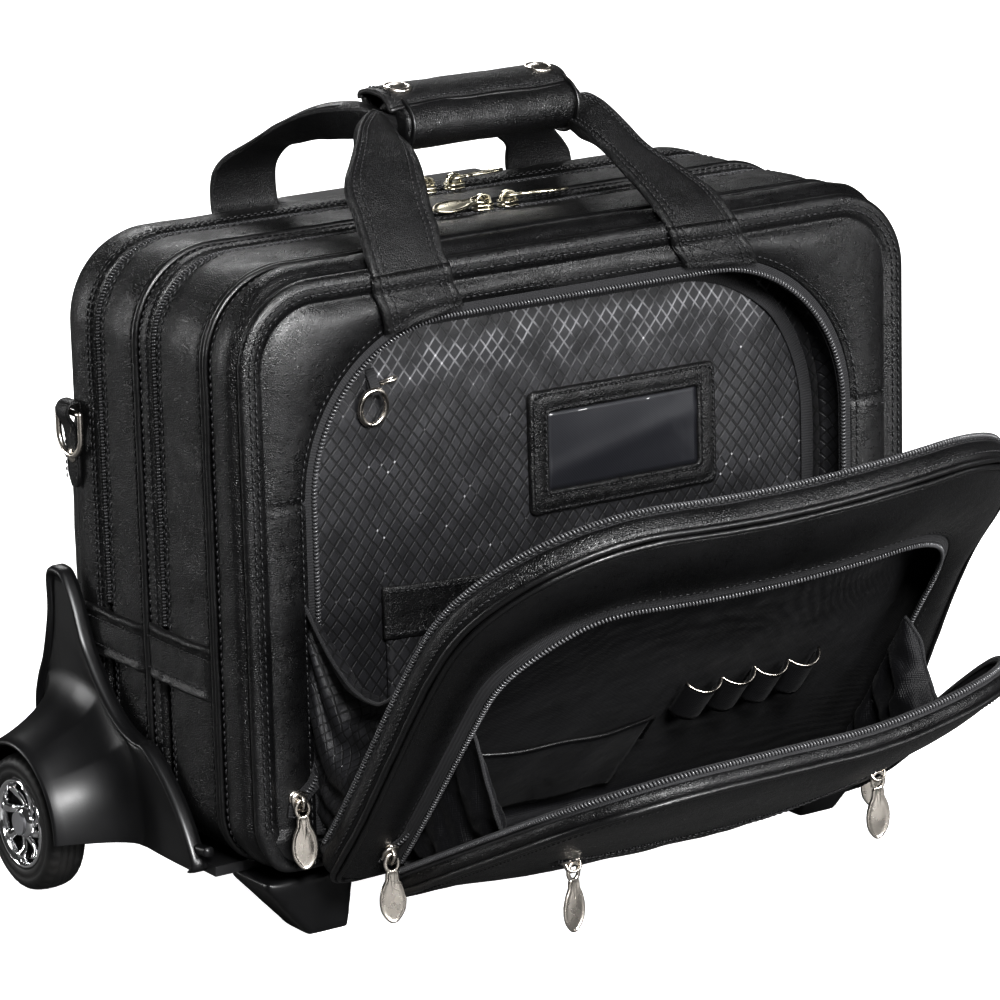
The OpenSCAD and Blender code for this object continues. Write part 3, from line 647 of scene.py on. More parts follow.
class Part:
    """Collects points (mm) and faces with UVs (m), then builds one object from them."""

    def __init__(self):
        self.blocks, self.faces, self.uvs = [], [], []
        self.count = 0

    def add(self, points, faces, uvs=None):
        start = self.count
        self.blocks.append(np.asarray(points, float).reshape(-1, 3))
        self.count += len(self.blocks[-1])
        for i, face in enumerate(faces):
            self.face([start + k for k in face], uvs[i] if uvs is not None else None)

    def face(self, corners, uvs=None):
        self.faces.append(corners)
        self.uvs.append(uvs if uvs is not None else [(0.0, 0.0)] * len(corners))

    def grid(self, points, wrap_columns=False, wrap_rows=False, uv=None):
        """points has shape (rows, columns, 3); uv(row, column) replaces the lengths as UVs."""
        P = np.asarray(points, float)
        R, C = P.shape[:2]
        if uv is None:
            widths = np.linalg.norm(np.roll(P, -1, axis=1) - P, axis=2).mean(axis=0)
            heights = np.linalg.norm(np.roll(P, -1, axis=0) - P, axis=2).mean(axis=1)
            us = np.concatenate([[0], np.cumsum(widths)])
            vs = np.concatenate([[0], np.cumsum(heights)])
            uv = lambda i, j: (us[j] * MM, vs[i] * MM)
        faces, uvs = [], []
        for i in range(R if wrap_rows else R - 1):
            i2 = (i + 1) % R
            for j in range(C if wrap_columns else C - 1):
                j2 = (j + 1) % C
                faces.append([i * C + j, i * C + j2, i2 * C + j2, i2 * C + j])
                uvs.append([uv(i, j), uv(i, j + 1), uv(i + 1, j + 1), uv(i + 1, j)])
        self.add(P, faces, uvs)
        return self

    def tube(self, rows, uv=None):
        """Closed sections joined along their length, with a face over each end."""
        start, last, C = self.count, len(rows) - 1, len(rows[0])
        self.grid(rows, wrap_columns=True, uv=uv)
        self.face([start + j for j in range(C)][::-1])
        self.face([start + last * C + j for j in range(C)])
        return self

    def sweep(self, path, up, section, closed=False, scale=None):
        """Carry a section of (side, normal) points, or a function of the station, along a path."""
        P = np.asarray(path, float)
        side, normal = frames(P, up, closed)
        sections = [np.asarray(section(i) if callable(section) else section, float)
                    for i in range(len(P))]
        rows = []
        for i, sec in enumerate(sections):
            k = 1.0 if scale is None else scale[i]
            rows.append(P[i] + (sec[:, :1] * side[i] + sec[:, 1:] * normal[i]) * k)
        rows = np.array(rows)
        along = lengths(P)
        along = np.append(along, along[-1] + (along[-1] - along[-2]))
        first = sections[0]
        widths = np.linalg.norm(np.roll(first, -1, 0) - first, axis=1)
        around = np.concatenate([[0], np.cumsum(widths)])
        uv = lambda i, j: (around[j] * MM, along[i] * MM)
        if closed:
            return self.grid(rows, wrap_columns=True, wrap_rows=True, uv=uv)
        return self.tube(rows, uv=uv)

    def lathe(self, profile, matrix, count):
        """profile is (radius, height) about the local z axis."""
        rows = [[tuple(matrix @ Vector((r * math.cos(2 * pi * q / count),
                                        r * math.sin(2 * pi * q / count), h)))
                 for q in range(count)] for r, h in profile]
        return self.grid(np.array(rows), wrap_columns=True)

    def bar(self, centres, radii, across, up, sides):
        """Short tube through the given centres, closed at both ends."""
        points = []
        for centre, radius in zip(centres, radii):
            for q in range(sides):
                a = 2 * pi * q / sides
                points.append(centre + across * (radius * math.cos(a))
                              + up * (radius * math.sin(a)))
        last = len(centres) - 1
        faces = []
        for g in range(last):
            for q in range(sides):
                q2 = (q + 1) % sides
                faces.append([g * sides + q, g * sides + q2,
                              (g + 1) * sides + q2, (g + 1) * sides + q])
        faces.append(list(range(sides))[::-1])
        faces.append([last * sides + q for q in range(sides)])
        self.add(points, faces)

    def stitches(self, path, normals, pitch=4.2, length=3.1, radius=0.5, lift=0.15, closed=False):
        """Thread stitches; each dips into the surface at both ends."""
        run = Run(path, normals, pitch, 1, closed)
        a, b = run.at(run.stations - length / 2), run.at(run.stations + length / 2)
        side = np.cross(unit(b - a), run.normals)
        # fraction along the stitch, radius and height in radii
        shape = ((0.0, 0.35, -0.35), (0.16, 0.9, 0.25), (0.5, 1.05, 0.5), (0.84, 0.9, 0.25),
                 (1.0, 0.35, -0.35))
        radii = [radius * r for _, r, _ in shape]
        for i in range(run.count):
            up = run.normals[i]
            centres = [a[i] + (b[i] - a[i]) * t + up * (lift + h * radius) for t, _, h in shape]
            self.bar(centres, radii, side[i], up, 6)
        return self

    def coil(self, path, normals, half, pitch, radius, arch):
        """Zip coil: one arched loop per pitch across the path."""
        run = Run(path, normals, pitch, 2)
        middle = run.at(run.stations)
        T = unit(run.at(run.stations + 0.2) - run.at(run.stations - 0.2))
        side = np.cross(T, run.normals)
        # place across the coil and height, as parts of half and arch
        shape = ((-1.0, -0.5), (-0.62, 0.55), (0.0, 0.9), (0.62, 0.55), (1.0, -0.5))
        for i in range(run.count):
            up = run.normals[i]
            centres = [middle[i] + side[i] * (u * half) + up * (h * arch) + T[i] * (0.35 * u)
                       for u, h in shape]
            self.bar(centres, [radius] * len(shape), T[i], up, 5)
        return self

    def place(self, other, matrix):
        """Add a copy of another part, moved by the matrix (mm)."""
        points = np.vstack(other.blocks)
        moved = (np.c_[points, np.ones(len(points))] @ np.array(matrix).T)[:, :3]
        start = self.count
        self.blocks.append(moved)
        self.count += len(moved)
        self.faces += [[start + i for i in face] for face in other.faces]
        self.uvs += other.uvs
        return self

    def build(self, name, material, body, recalc=True):
        mesh = bpy.data.meshes.new(name)
        mesh.from_pydata((np.vstack(self.blocks) * MM).tolist(), [], self.faces)
        flat = [c for face in self.uvs for corner in face for c in corner]
        mesh.uv_layers.new(name="UVMap").data.foreach_set("uv", flat)
        ob = link_object(name, mesh)
        if recalc:
            bm = bmesh.new()
            bm.from_mesh(mesh)
            bmesh.ops.recalc_face_normals(bm, faces=bm.faces)
            bm.to_mesh(mesh)
            bm.free()
        mesh.polygons.foreach_set("use_smooth", [True] * len(mesh.polygons))
        mesh.materials.append(MATERIALS[material])
        mesh.update()
        if body is not None:
            ride(ob, body)
        return ob


def apply_modifiers(ob):
    depsgraph = bpy.context.evaluated_depsgraph_get()
    depsgraph.update()
    mesh = bpy.data.meshes.new_from_object(ob.evaluated_get(depsgraph))
    old = ob.data
    ob.modifiers.clear()
    ob.data = mesh
    bpy.data.meshes.remove(old)
    mesh.polygons.foreach_set("use_smooth", [True] * len(mesh.polygons))
    return ob


def solidify(ob, thickness, offset=-1.0):
    modifier = ob.modifiers.new("s", "SOLIDIFY")
    modifier.thickness = thickness * MM
    modifier.offset = offset
    modifier.use_even_offset = False
    return apply_modifiers(ob)


def subdivide(ob):
    modifier = ob.modifiers.new("sub", "SUBSURF")
    modifier.levels = modifier.render_levels = 1
    return apply_modifiers(ob)


def displace(ob, amp, size, seed=0.0, mask=None):
    """Move vertices along their normals by smooth noise (mm)."""
    mesh = ob.data
    mesh.update()
    places = [v.co.copy() for v in mesh.vertices]
    normals = [v.normal.copy() for v in mesh.vertices]
    for v, co, normal in zip(mesh.vertices, places, normals):
        p = co / MM
        if mask is None or mask(p):
            v.co = co + normal * (amp * fbm(p, size, seed) * MM)
    mesh.update()
    return ob


def orient(ob, outward):
    """Flip all faces when the surface as a whole looks against the outward direction."""
    mesh = ob.data
    mesh.update()
    facing = 0.0
    for p in mesh.polygons:
        direction = outward(p.center / MM) if callable(outward) else outward
        facing += p.normal.dot(Vector(direction)) * p.area
    if facing < 0:
        mesh.flip_normals()
    mesh.update()


def sheet(name, material, rows, body, thickness, outward, wrap=False, uv=None):
    """Grid of points made into a sheet that thickens away from its outward side."""
    part = Part().grid(rows, wrap_columns=wrap, uv=uv)
    last = np.asarray(rows[-1], float)
    if wrap and (last.max(0) - last.min(0)).max() < 45:
        # close the small hole in the middle, wound like the faces next to it
        start, C = (len(rows) - 1) * len(last), len(last)
        face = [start + j for j in range(C)]
        normal = np.cross(last[C // 3] - last[0], last[2 * C // 3] - last[0])
        points, near = np.vstack(part.blocks), part.faces[-1]
        near_normal = np.cross(points[near[1]] - points[near[0]], points[near[2]] - points[near[0]])
        if np.dot(normal, near_normal) < 0:
            face = face[::-1]
        part.face(face, [uv(len(rows) - 1, j - start) for j in face] if uv else None)
    ob = part.build(name, material, None, recalc=False)
    orient(ob, outward)
    if name == "document_pocket":
        displace(ob, amp=0.8, size=16, seed=2.0)
    solidify(ob, thickness)
    ob.data.update()
    if body is not None:
        ride(ob, body)
    return ob


def from_middle(half_width, mid_z, half_height):
    """Outward direction in the xz plane, away from a middle."""
    return lambda c: (c[0] / half_width, 0.0, (c[2] - mid_z) / half_height)


def flat_uv(rows):
    """UVs straight from x and z."""
    columns = rows.shape[1]
    return lambda i, j: (rows[i, j % columns, 0] * MM, rows[i, j % columns, 2] * MM)


def ring_row(outline, offset, y, amp=0.0, size=14.0, seed=0.0, sway=0.0):
    """Outline moved outward by offset, a number or a function of x and z, at depth y."""
    row = np.zeros((len(outline.points), 3))
    for j, ((x, z), (nx, nz)) in enumerate(zip(*outline)):
        out = offset(x, z) if callable(offset) else offset
        depth = y
        if amp:
            out += amp * fbm((x, y, z), size, seed)
        if sway:
            depth += sway * fbm((x, y + 40, z), size, seed)
        row[j] = (x + nx * out, depth, z + nz * out)
    return row


def bead(outline, offset, y, radius, sides, seed, ripple, jitter):
    """Round bead along an outline; jitter(x, z) gives its drift outward and in depth."""
    rows = []
    for q in range(sides):
        a = 2 * pi * q / sides
        row = np.zeros((len(outline.points), 3))
        for j, ((x, z), (nx, nz)) in enumerate(zip(*outline)):
            r = radius * (1 + 0.10 * noise_at(x * ripple, z * ripple, seed))
            drift_out, drift_y = jitter(x, z)
            out = offset + r * math.cos(a) + drift_out
            row[j] = (x + nx * out, y + r * math.sin(a) + drift_y, z + nz * out)
        rows.append(row)
    return Part().grid(np.array(rows), wrap_columns=True, wrap_rows=True)


def surface_of(name):
    """Search tree of a finished piece, in drawn mm."""
    mesh = bpy.data.objects[name].data
    points = [Vector((v.co.x, v.co.y - CASE_SHIFT, v.co.z)) / MM for v in mesh.vertices]
    return points, [list(p.vertices) for p in mesh.polygons]


def tree_of(*names):
    points, faces = [], []
    for name in names:
        start = len(points)
        new_points, new_faces = surface_of(name)
        points += new_points
        faces += [[start + i for i in face] for face in new_faces]
    return BVHTree.FromPolygons(points, faces)


def depth_finder(tree, start_y, fallback):
    """Function of x and z that gives the first y met from start_y towards the case."""
    direction = Vector((0, 1 if start_y < 0 else -1, 0))

    def find(x, z):
        hit = tree.ray_cast(Vector((x, start_y, z)), direction)[0]
        return hit.y if hit is not None else fallback
    return find


# zip coils and stitch sizes, mm
BODY_COIL = dict(half=1.55, pitch=1.8, radius=0.62, arch=0.55)
OPEN_COIL = dict(half=1.4, pitch=2.0, radius=0.74, arch=0.8)
END_COIL = dict(half=1.5, pitch=1.9, radius=0.6, arch=0.6)
WINDOW_STITCH = dict(pitch=3.3, length=2.4, radius=0.42)
STRAP_STITCH = dict(pitch=3.3, length=2.5, radius=0.42)
POCKET_STITCH = dict(pitch=3.4, length=2.5, radius=0.42)
WRAP_STITCH = dict(pitch=3.4, length=2.6, radius=0.42, lift=0.2)
TAB_STITCH = dict(pitch=3.4, length=2.5, radius=0.4)


# ---------------------------------------------------------------- leather body

CASE = case_outline(440)
CASE_OUTWARD = from_middle(HALF_WIDTH, CASE_MID, CASE_TOP - CASE_MID)

# (offset, y) from the seam over the crown to the rear face
REAR_COVER = [
    (-6.0, 56.6), (-2.6, 56.3), (-0.8, 56.6), (0.1, 57.6), (0.7, 59.5), (0.9, 62), (1.4, 66),
    (1.7, 70), (1.6, 74), (1.1, 78), (0.2, 81.5), (-1.4, 84.5), (-3.8, 87.0), (-7.0, 88.9),
    (-10.5, 89.7)]


def rear_cover():
    rows = [ring_row(CASE, o, y, amp=0.35, size=16.0, seed=3.0) for o, y in REAR_COVER]
    last = rows[-1]
    for k in (0.90, 0.8, 0.66, 0.5, 0.34, 0.18, 0.06):
        row = last.copy()
        row[:, 0] = last[:, 0] * k
        row[:, 2] = CASE_MID + (last[:, 2] - CASE_MID) * k
        row[:, 1] = 89.9
        rows.append(row)
    outward = lambda c: (c[0] / 213, (c[1] - 40) / 40, (c[2] - 199) / 157)
    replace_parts(sheet("rear_cover_leather", "leather", np.array(rows), "case", 2.2, outward,
                      wrap=True), "rear_cover")


def case_band(name, rows, seed, amp, size=13.0, thickness=2.4):
    """Leather band round the case; rows are (offset, y) on its visible side."""
    def inner(offset):
        return lambda x, z: (offset(x, z) if callable(offset) else offset) - thickness
    P = [ring_row(CASE, o, y, amp, size, seed) for o, y in rows]
    P += [ring_row(CASE, inner(o), y, amp, size, seed) for o, y in rows[::-1]]
    part = Part().grid(np.array(P), wrap_columns=True, wrap_rows=True)
    return part.build(name, "leather", "case")


def crowned_rows(y0, y1, count, bulge, drop, edge):
    """Band between two seams: crowned by bulge, edges rolled in by drop over edge mm."""
    out = []
    for i in range(count + 1):
        t = i / count
        y = y0 + (y1 - y0) * t
        e = min(1.0, min(abs(y - y0), abs(y1 - y)) / edge)
        roll = drop * (1 - math.sqrt(max(0.0, 1 - (1 - e) ** 2)))
        out.append((bulge * math.sin(pi * t) ** 0.6 - roll, y))
    return out


def uprightness(z):
    """1 on the upright sides, 0 over the top and under the bottom."""
    k = min(min(1.0, max(0.0, (z - 50) / 25.0)), min(1.0, max(0.0, (338 - z) / 30.0)))
    return k * k * (3 - 2 * k)


def top_roll(base, extra):
    """Offset of the front band: thicker along the top, where a cross seam joins it."""
    def offset(x, z):
        top = smoothstep(343, 352, z)
        d = abs(x + 12.0)
        seam = -1.1 * math.exp(-(d / 0.9) ** 2) + 0.5 * math.exp(-((d - 2.6) / 1.4) ** 2)
        swell = extra * (0.85 + 0.3 * fbm((x, 0.0, 3.0), 60.0, 8.0))
        return base + top * (swell + seam * min(1.0, extra))
    return offset


def tucked(base, depth):
    """Offset that draws in on the upright sides."""
    return lambda x, z: base - depth * uprightness(z)


FRONT_BAND = [
    (-2.2, -63.2), (-0.9, -63.9), (0.2, -65.4), (top_roll(1.0, 1.3), -68.5),
    (top_roll(1.6, 2.3), -73), (top_roll(1.7, 2.6), -77), (top_roll(1.2, 2.0), -81),
    (top_roll(0.6, 0.8), -83.4), (tucked(-0.6, 0.6), -85.0), (tucked(-1.2, 2.4), -86.4),
    (tucked(-1.6, 5.4), -87.4)]


def case_bands():
    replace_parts(case_band("rear_gusset_leather", crowned_rows(12.6, 49.6, 16, 1.5, 2.4, 3.0),
                          seed=5.0, amp=0.5, size=15), "rear_gusset")
    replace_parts(case_band("middle_gusset_leather", crowned_rows(-2.6, 8.6, 8, 0.9, 2.0, 2.2),
                          seed=8.0, amp=0.3), "middle_gusset")
    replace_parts(case_band("middle_shell_leather", crowned_rows(-56.6, -9.4, 22, 2.0, 2.4, 3.0),
                          seed=11.0, amp=0.75, size=19), "middle_shell")
    case_band("front_gusset_leather", FRONT_BAND, seed=14.0, amp=0.5, size=12)


# front panel: from the case outline in to the organizer opening
OPEN_HALF, OPEN_LOW, OPEN_TOP, OPEN_RADIUS = 176.0, 56.0, 330.0, 92.0
front_outer, FRONT_OPENING = match_loops(
    case_outline(900).points,
    corner_marks(HALF_WIDTH, CASE_LOW, CASE_TOP, TOP_RADIUS, 235, LOW_RADIUS),
    u_loop(OPEN_HALF, OPEN_LOW, OPEN_TOP, OPEN_RADIUS, 900),
    corner_marks(OPEN_HALF, OPEN_LOW, OPEN_TOP, OPEN_RADIUS, 228), 520)
FRONT_EDGE = outline_of(front_outer)

# (offset, y) over the rolled edge and the stitched border to the seam
FRONT_BORDER = [
    (tucked(-1.6, 5.4), -88.0), (tucked(-0.9, 1.9), -88.6), (-0.9, -89.6), (-0.7, -90.9),
    (-1.5, -92.4), (-3.2, -93.4), (-5.4, -93.8), (-8.0, -93.7), (-10.5, -93.3), (-12.2, -92.7),
    (-13.2, -91.9), (-14.2, -91.9)]
SIDE_SEAM_Z = 239.0
NARROW_Z = 60       # below this the border strip is narrow


def front_face_row(t):
    """Ring at fraction t between the border seam and the opening."""
    row = np.zeros((len(FRONT_OPENING), 3))
    for j, (edge, normal, b) in enumerate(zip(*FRONT_EDGE, FRONT_OPENING)):
        a = edge - normal * (5.0 if edge[1] < NARROW_Z else 15.0)
        x, z = a + (b - a) * t
        bulge = min(5.5, 0.085 * np.linalg.norm(b - a))
        y = -92.2 - bulge * math.sin(pi * min(1.0, t * 1.02)) ** 0.75
        y -= 0.55 * fbm((x, z, 3.0), 26.0, 2.0) * math.sin(pi * t)
        # cross seam on both side margins
        dz = abs(z - SIDE_SEAM_Z)
        if abs(x) > 170 and dz < 3:
            y += 1.1 * (1 - dz / 3) ** 1.2
        row[j] = (x, y, z)
    return row


def with_turned_edge(rows, *depths):
    """Repeat the last row at each depth, for the turned edge of an opening."""
    for y in depths:
        row = rows[-1].copy()
        row[:, 1] = y
        rows.append(row)
    return np.array(rows)


def front_panel():
    rows = [ring_row(FRONT_EDGE, o, y) for o, y in FRONT_BORDER]
    for row in rows[4:]:
        for j, (_, edge_z) in enumerate(FRONT_EDGE.points):
            if edge_z < NARROW_Z:
                k = min(1.0, (NARROW_Z - edge_z) / 14.0)
                z = row[j][2]
                row[j][2] = z * (1 - k) + min(z, 42 + (z - 42) * 0.42) * k
    rows += [front_face_row(t) for t in (0.03, 0.08, 0.15, 0.24, 0.34, 0.45, 0.56, 0.67, 0.77,
                                         0.86, 0.93, 0.975, 1.0)]
    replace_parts(sheet("front_panel_leather", "leather_soft", with_turned_edge(rows, -91.2, -89.2),
                      "case", 1.6, lambda c: (c[0] / 213 * 0.2, -1, 0), wrap=True), "front_shell")


def case_welt(name, y, offset, radius, seed):
    def jitter(x, z):
        drift = 0.35 * fbm((x, y, z), 30, seed)
        return drift * 0.4, drift
    part = bead(CASE, offset, y, radius, sides=14, seed=seed, ripple=0.11, jitter=jitter)
    return part.build(name, "welt", "case")


def case_welts():
    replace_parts(case_welt("welt_rear", 10.5, 0.9, 2.1, seed=1.0), "welts")
    case_welt("welt_front_a", -58.3, 1.0, 1.75, seed=2.0)
    case_welt("welt_front_b", -61.5, 1.0, 1.75, seed=3.0)


def body_zips():
    """Two closed zips over the top and down both sides."""
    above = CASE.points[:, 1] > 159.5
    line = Outline(CASE.points[above], CASE.normals[above])
    # (offset, distance from the middle of the zip)
    tape_rows = ((-2.6, -4.0), (-1.4, -3.4), (-1.2, -2.2), (-1.0, -1.2),
                 (-1.0, 1.2), (-1.2, 2.2), (-1.4, 3.4), (-2.6, 4.0))
    for name, zip_y in (("rear", 53.0), ("middle", -6.0)):
        rows = np.array([ring_row(line, o, zip_y + dy) for o, dy in tape_rows])
        sheet(f"zip_tape_{name}", "tape", rows, "case", 0.6, CASE_OUTWARD)
        part = Part().coil(ring_row(line, -0.55, zip_y), as_3d(line.normals), **BODY_COIL)
        coil = part.build(f"zip_coil_{name}", "teeth", "case", recalc=False)
        if name == "rear":
            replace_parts(coil, "body_zips")


# (y, offset) of the stitch lines round the bands
BAND_STITCHES = (
    (47.2, 0.2), (44.4, 0.85), (59.4, 0.75), (62.2, 1.05), (15.6, 0.75), (-11.9, 0.35),
    (-14.8, 1.0), (6.2, 0.45), (0.1, 0.5), (-54.0, 0.65), (-66.4, 0.65))


def case_stitching():
    part = Part()
    for y, o in BAND_STITCHES:
        part.stitches(ring_row(CASE, o + 0.1, y), as_3d(CASE.normals), closed=True)
    # border of the front panel, from one lower corner over the top to the other
    above = FRONT_EDGE.points[:, 1] > 62
    for o, y in ((-5.6, -93.9), (-9.0, -93.7)):
        part.stitches(ring_row(FRONT_EDGE, o, y)[above], FRONT)
    for sx, _ in SIDES:
        for dz in (-3.6, 3.8):
            z = SIDE_SEAM_Z + dz
            part.stitches([(sx * 198.5, -94.9, z), (sx * 188, -95.4, z), (sx * 178.5, -93.6, z)],
                          FRONT)
    part.build("case_stitching", "thread", "case", recalc=False)


def side_band(sx, tag, y0, y1, z0, z1, crown):
    """Leather band that lies along one side of the case."""
    side = "l" if sx < 0 else "r"
    width = z1 - z0
    # closed section: (place across the band, distance from the case)
    profile = [(0, 0.2), (-0.2, 1.8), (0.6, 3.3), (2.0, 3.9), (3.2, 3.3), (4.0, 2.7),
               (width * 0.3, 3.0), (width * 0.5, 3.2), (width * 0.7, 3.0), (width - 4.0, 2.7),
               (width - 3.2, 3.3), (width - 2.0, 3.9), (width - 0.6, 3.3), (width + 0.2, 1.8),
               (width, 0.2)]

    def surface(y):
        tuck = (y - 76) ** 2 * 0.035 if tag == "rear" and y > 76 else 0
        return HALF_WIDTH + crown * math.sin(pi * (y - y0) / (y1 - y0)) - tuck

    rows = []
    stations = 34
    for i in range(stations):
        t = i / (stations - 1)
        y = y0 + (y1 - y0) * t
        end = min(1.0, min(t, 1 - t) * 14)
        row = []
        for across, out in profile:
            z = z0 + across + 0.8 * noise_at(y * 0.08, across * 0.05, 4.0 + sx)
            ripple = 0.6 * noise_at(y * 0.16, z * 0.16, 7.0 + sx) if out > 1 else 0
            row.append((sx * (surface(y) + out * (0.45 + 0.55 * end) + ripple), y, z))
        rows.append(row)
    ob = Part().tube(rows).build(f"side_band_{tag}_{side}", "leather", "case")
    if sx < 0 and tag == "rear":
        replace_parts(ob, "side_bands")
    part = Part()
    for across in (6.2, width - 6.2):
        part.stitches([(sx * (surface(y) + 3.25), y, z0 + across)
                       for y in np.linspace(y0 + 1, y1 - 1, 24)], (sx, 0, 0))
    part.build(f"side_band_thread_{tag}_{side}", "thread", "case", recalc=False)


def side_bands():
    for sx, _ in SIDES:
        side_band(sx, "rear", 13.4, 81.5, 130.5, 157.0, crown=0.5)
        side_band(sx, "middle", -56.0, 8.0, 130.5, 160.0, crown=0.9)


# ---------------------------------------------------------------- front organizer

TRAY = u_loop(178.0, 56.0, 331.0, 93.5, 300)
TRAY_MID = 193.0
WALL_Y = -63.4
WINDOW = (42.0, 234.0)


def wall_y(x, z):
    """Back wall of the organizer, with soft folds."""
    y = WALL_Y - 0.9 * fbm((x, z, 1.0), 60.0, 3.0)
    y -= 1.2 * math.exp(-((z - 300 + 0.03 * x) / 9.0) ** 2)
    y -= 2.2 * math.exp(-((x + 128) / 10.0) ** 2) * (0.6 + 0.4 * math.sin(z * 0.05))
    y -= 1.6 * math.exp(-((x - 118 - (z - 200) * 0.3) / 14.0) ** 2)
    return y


def above_wall(y):
    """Depth y, carried along with the folds of the wall."""
    return lambda x, z: y + wall_y(x, z) - WALL_Y


def organizer_tray():
    rows = []
    centre = np.array([0.0, TRAY_MID])
    for out, y in ((0.0, -89.6), (0.4, -86), (1.0, -80), (1.2, -74), (0.8, -68), (-0.6, -65.2),
                   (-3.0, -63.6)):
        row = np.zeros((len(TRAY), 3))
        for j, point in enumerate(TRAY):
            v = point - centre
            ripple = 0.9 * noise_at(point[0] * 0.05, y * 0.12, point[1] * 0.05)
            q = point + v / np.linalg.norm(v) * (out + ripple if out >= 0 else out)
            row[j] = (q[0], y, max(55.2, q[1]))
        rows.append(row)
    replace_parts(sheet("organizer_walls", "lining", np.array(rows), "case", 0.8,
                      lambda c: (-c[0], 0.0, 190 - c[2]), wrap=True), "organizer_lining")
    rows = []
    for k in (1.0, 0.94, 0.86, 0.78, 0.7, 0.62, 0.54, 0.46, 0.38, 0.3, 0.22, 0.14, 0.06):
        points = np.stack([TRAY[:, 0] * k * 0.985,
                           TRAY_MID + (TRAY[:, 1] - TRAY_MID) * k * 0.985], 1)
        rows.append(at_depth(points, wall_y))
    rows = np.array(rows)
    sheet("organizer_back_wall", "lining", rows, "case", 0.8, FRONT, wrap=True, uv=flat_uv(rows))


def organizer_tapes():
    """Binding under the front edge and a tape on the back wall."""
    path = at_depth(u_open(174.0, 64.0, 326.5, 90.0, 240), -88.4)
    Part().sweep(path, FRONT, slab(7.5, 1.0)).build("organizer_binding", "tape", "case")
    path = at_depth(u_open(166.0, 150.0, 318.0, 86.0, 200), lambda x, z: wall_y(x, z) - 1.0)
    Part().sweep(path, FRONT, slab(8.0, 1.4)).build("organizer_wall_tape", "tape", "case")


def front_zip():
    """Zip round the opening, and the stitches outside it."""
    path = at_depth(u_open(173.6, 60.0, 327.6, 89.6, 300), -91.3)
    part = Part().sweep(path, FRONT, slab(8.6, 0.8))
    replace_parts(part.build("front_zip_tape", "tape", "case"), "front_zip")
    path = at_depth(u_open(170.6, 62.0, 324.6, 86.8, 300), -92.6)
    part = Part().coil(path, FRONT, **OPEN_COIL)
    part.build("front_zip_coil", "teeth", "case", recalc=False)
    path = at_depth(u_open(179.2, 66.0, 333.0, 95.0, 240), -93.4)
    part = Part().stitches(path, FRONT, pitch=4.0)
    part.build("opening_stitching", "thread", "case", recalc=False)


def window_loop(width, height, radius):
    return resample(rounded_rect(width, height, radius, 8, WINDOW), 160, closed=True)


def window():
    """Stitched leather frame with a crowned section, and a clear sheet."""
    outer, inner = window_loop(122, 68, 4), window_loop(98, 43, 1.5)
    # (fraction from the outer to the inner edge, y)
    profile = [(0.0, -62.6), (0.0, -65.4), (0.05, -66.4), (0.16, -66.8), (0.2, -66.4),
               (0.3, -66.9), (0.5, -67.0), (0.7, -66.9), (0.8, -66.4), (0.84, -66.8),
               (0.95, -66.5), (1.0, -65.8), (1.0, -62.6)]
    rows = np.array([at_depth(outer + (inner - outer) * t, above_wall(y)) for t, y in profile])
    ob = Part().grid(rows, wrap_columns=True, wrap_rows=True).build(
        "window_frame_leather", "leather", "case")
    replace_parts(displace(ob, amp=0.25, size=9.0, seed=4.0), "window_frame")
    part = Part()
    for size in ((117.5, 63.5, 3), (103, 48, 2)):
        part.stitches(at_depth(window_loop(*size), above_wall(-67.0)), FRONT,
                      closed=True, **WINDOW_STITCH)
    part.build("window_thread", "thread", "case", recalc=False)
    rows = []
    for i in range(15):
        row = []
        for j in range(31):
            x, z = WINDOW[0] - 49.5 + 99 * j / 30, WINDOW[1] - 22 + 44 * i / 14
            y = above_wall(-64.9)(x, z) - 1.1 * math.sin(pi * j / 30) * math.sin(pi * i / 14)
            y -= 0.8 * math.exp(-((z - WINDOW[1] + 2 - (x - WINDOW[0]) * 0.22) / 6.0) ** 2)
            row.append((x, y, z))
        rows.append(row)
    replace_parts(sheet("window_sheet", "vinyl", np.array(rows), "case", 0.5, FRONT), "vinyl_window")


def pocket_y(x, z):
    """Billowing front of the document pocket."""
    u = (x + 113) / 263.0
    v = (z - 58) / 119.0
    y = -65.0 - (8.5 * math.sin(pi * min(1, max(0, u))) ** 0.7
                 * math.sin(pi * min(1.0, 0.15 + 0.75 * v)) ** 0.8)
    return y - 2.2 * math.sin(u * 9.0 + v * 2.0) * math.sin(pi * v) * 0.6


def band_sag(x):
    t = (x + 115) / 179.0
    return -3.0 * math.sin(pi * t) + 2.0 * t


